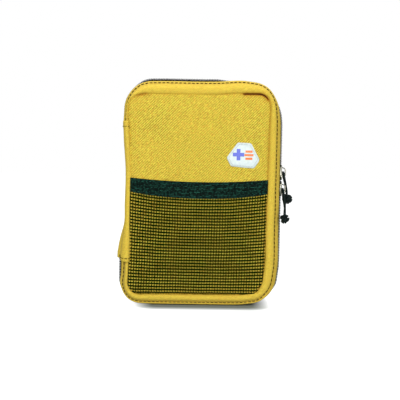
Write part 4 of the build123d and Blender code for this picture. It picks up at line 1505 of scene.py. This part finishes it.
def inside():
    for side in (FRONT, BACK):
        lining(side)
    inner_pocket("back_pocket", BACK)
    inner_pocket("cover_pocket", FRONT)
    strap()
    bandage("bandage_roll_large", CREPE)
    bandage("bandage_roll_small", GAUZE)
    tape_roll()
    packet("dressing_pack", PAPER)
    packet("rescue_blanket", FOIL)
    packet("glove_pack", GLOVE_FILM)
    packet("wipe_packs", WIPE_FILM, count=2)
    packet("plaster_packs", PLASTER_PAPER, count=2)
    for node, finish in (("tweezers", STEEL), ("tape_core", CARD)):
        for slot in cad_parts[node].material_slots:
            slot.material = finish


# ================================================================ stage, light and camera
FLOOR = 3.0  # metres from its middle to its edges
FLOOR_Z = -0.0002  # just under the case's foot
LAMPS = [  # name, place, aim, width and power
    ("key", (-0.6, -1.5, 0.7), (0, 0, 0.1), 0.9, 15.2),
    ("fill", (1.2, -1.0, 0.5), (0, 0, 0.1), 1.2, 9.6),
    ("top", (-0.06, 0.17, 1.3), (0, 0, 0.0), 0.32, 7.2),
    ("low", (0.1, -1.5, 0.08), (0, 0, 0.05), 0.5, 5.0),
]
CAMERA_WAY = (-1.0, 4.0, -1.0)  # degrees round from the front, up, and rolled
CAMERA_DISTANCE = 0.932
LENS, SENSOR = 80.0, 36.0


def studio():
    scene = bpy.context.scene
    scene.view_settings.view_transform = "Standard"
    world = bpy.data.worlds.new("studio")
    scene.world = world
    world.use_nodes = True
    nodes, links = world.node_tree.nodes, world.node_tree.links
    background = nodes["Background"]
    rays = nodes.new("ShaderNodeLightPath")
    mix = nodes.new("ShaderNodeMix")
    mix.data_type = "RGBA"
    links.new(rays.outputs["Is Camera Ray"], mix.inputs[0])
    mix.inputs[6].default_value = (0.40, 0.41, 0.42, 1.0)
    mix.inputs[7].default_value = (1.0, 1.0, 1.0, 1.0)
    links.new(mix.outputs[2], background.inputs["Color"])

    corners = [(-FLOOR, -FLOOR), (FLOOR, -FLOOR), (FLOOR, FLOOR), (-FLOOR, FLOOR)]
    verts = [(x, y, FLOOR_Z) for x, y in corners]
    new_object("floor", verts, [(0, 1, 2, 3)], floor_material())
    for name, place_at, aim, wide, power in LAMPS:
        data = bpy.data.lights.new(name, "AREA")
        data.shape = "DISK"
        data.size = wide
        data.energy = power
        lamp_object = bpy.data.objects.new(name, data)
        scene.collection.objects.link(lamp_object)
        lamp_object.location = place_at
        lamp_object.rotation_euler = (Vector(aim) - Vector(place_at)).to_track_quat("-Z", "Y").to_euler()


def floor_material():
    """Mid-grey floor with a patch of painted shadow round the case's foot, in which the lamps' real shadow
    falls; away from the object it turns white, as only camera rays see it glow.
    """
    f = Finish("floor", Roughness=0.9, Specular_IOR_Level=0.0)
    # a mid-grey floor colour, which deepens the shadow round the foot
    f.shader.inputs["Base Color"].default_value = (0.26, 0.29, 0.27, 1.0)
    rays = f.nodes.new("ShaderNodeLightPath")
    # painted shadow: no glow in a patch round the case's foot, as wide and as deep as the shadow
    beside = f.ramp(f.math("ABSOLUTE", f.axis(0)), 0.046, 0.071)
    before = f.ramp(f.math("ABSOLUTE", f.axis(1)), 0.024, 0.047)
    away = f.add(f.times(beside, beside), f.times(before, before))
    glow_beyond_painted_shadow = f.times(rays.outputs["Is Camera Ray"], f.ramp(away, 0.05, 1.0))
    f.shader.inputs["Emission Color"].default_value = (1.0, 1.0, 1.0, 1.0)
    f.put(f.shader, "Emission Strength", glow_beyond_painted_shadow)
    return f.material


def camera():
    data = bpy.data.cameras.new("camera")
    data.lens, data.sensor_width = LENS, SENSOR
    cam = bpy.data.objects.new("camera", data)
    bpy.context.scene.collection.objects.link(cam)
    aim = Vector((CENTRE_X * MM - 0.0004, CLOSING_Y * MM, 0.1070))
    azimuth, elevation, roll = (math.radians(degrees) for degrees in CAMERA_WAY)
    level = math.cos(elevation)
    back = Vector((math.sin(azimuth) * level, -math.cos(azimuth) * level, math.sin(elevation)))
    turn = (-back).to_track_quat("-Z", "Y").to_matrix() @ Matrix.Rotation(-roll, 3, "Z")
    cam.location = aim + back * CAMERA_DISTANCE
    cam.rotation_euler = turn.to_euler()
    bpy.context.scene.camera = cam


studio()
camera()
pulls()
slider("upper_slider", 1)
slider("lower_slider", -1)
for side in (FRONT, BACK):
    border(side)
    border_stitches(side)
    zip_tape(side)
    zip_coil(side)
    panel(side)
spine()
net_piece = net()
band_piece = band()
patch()
inside()
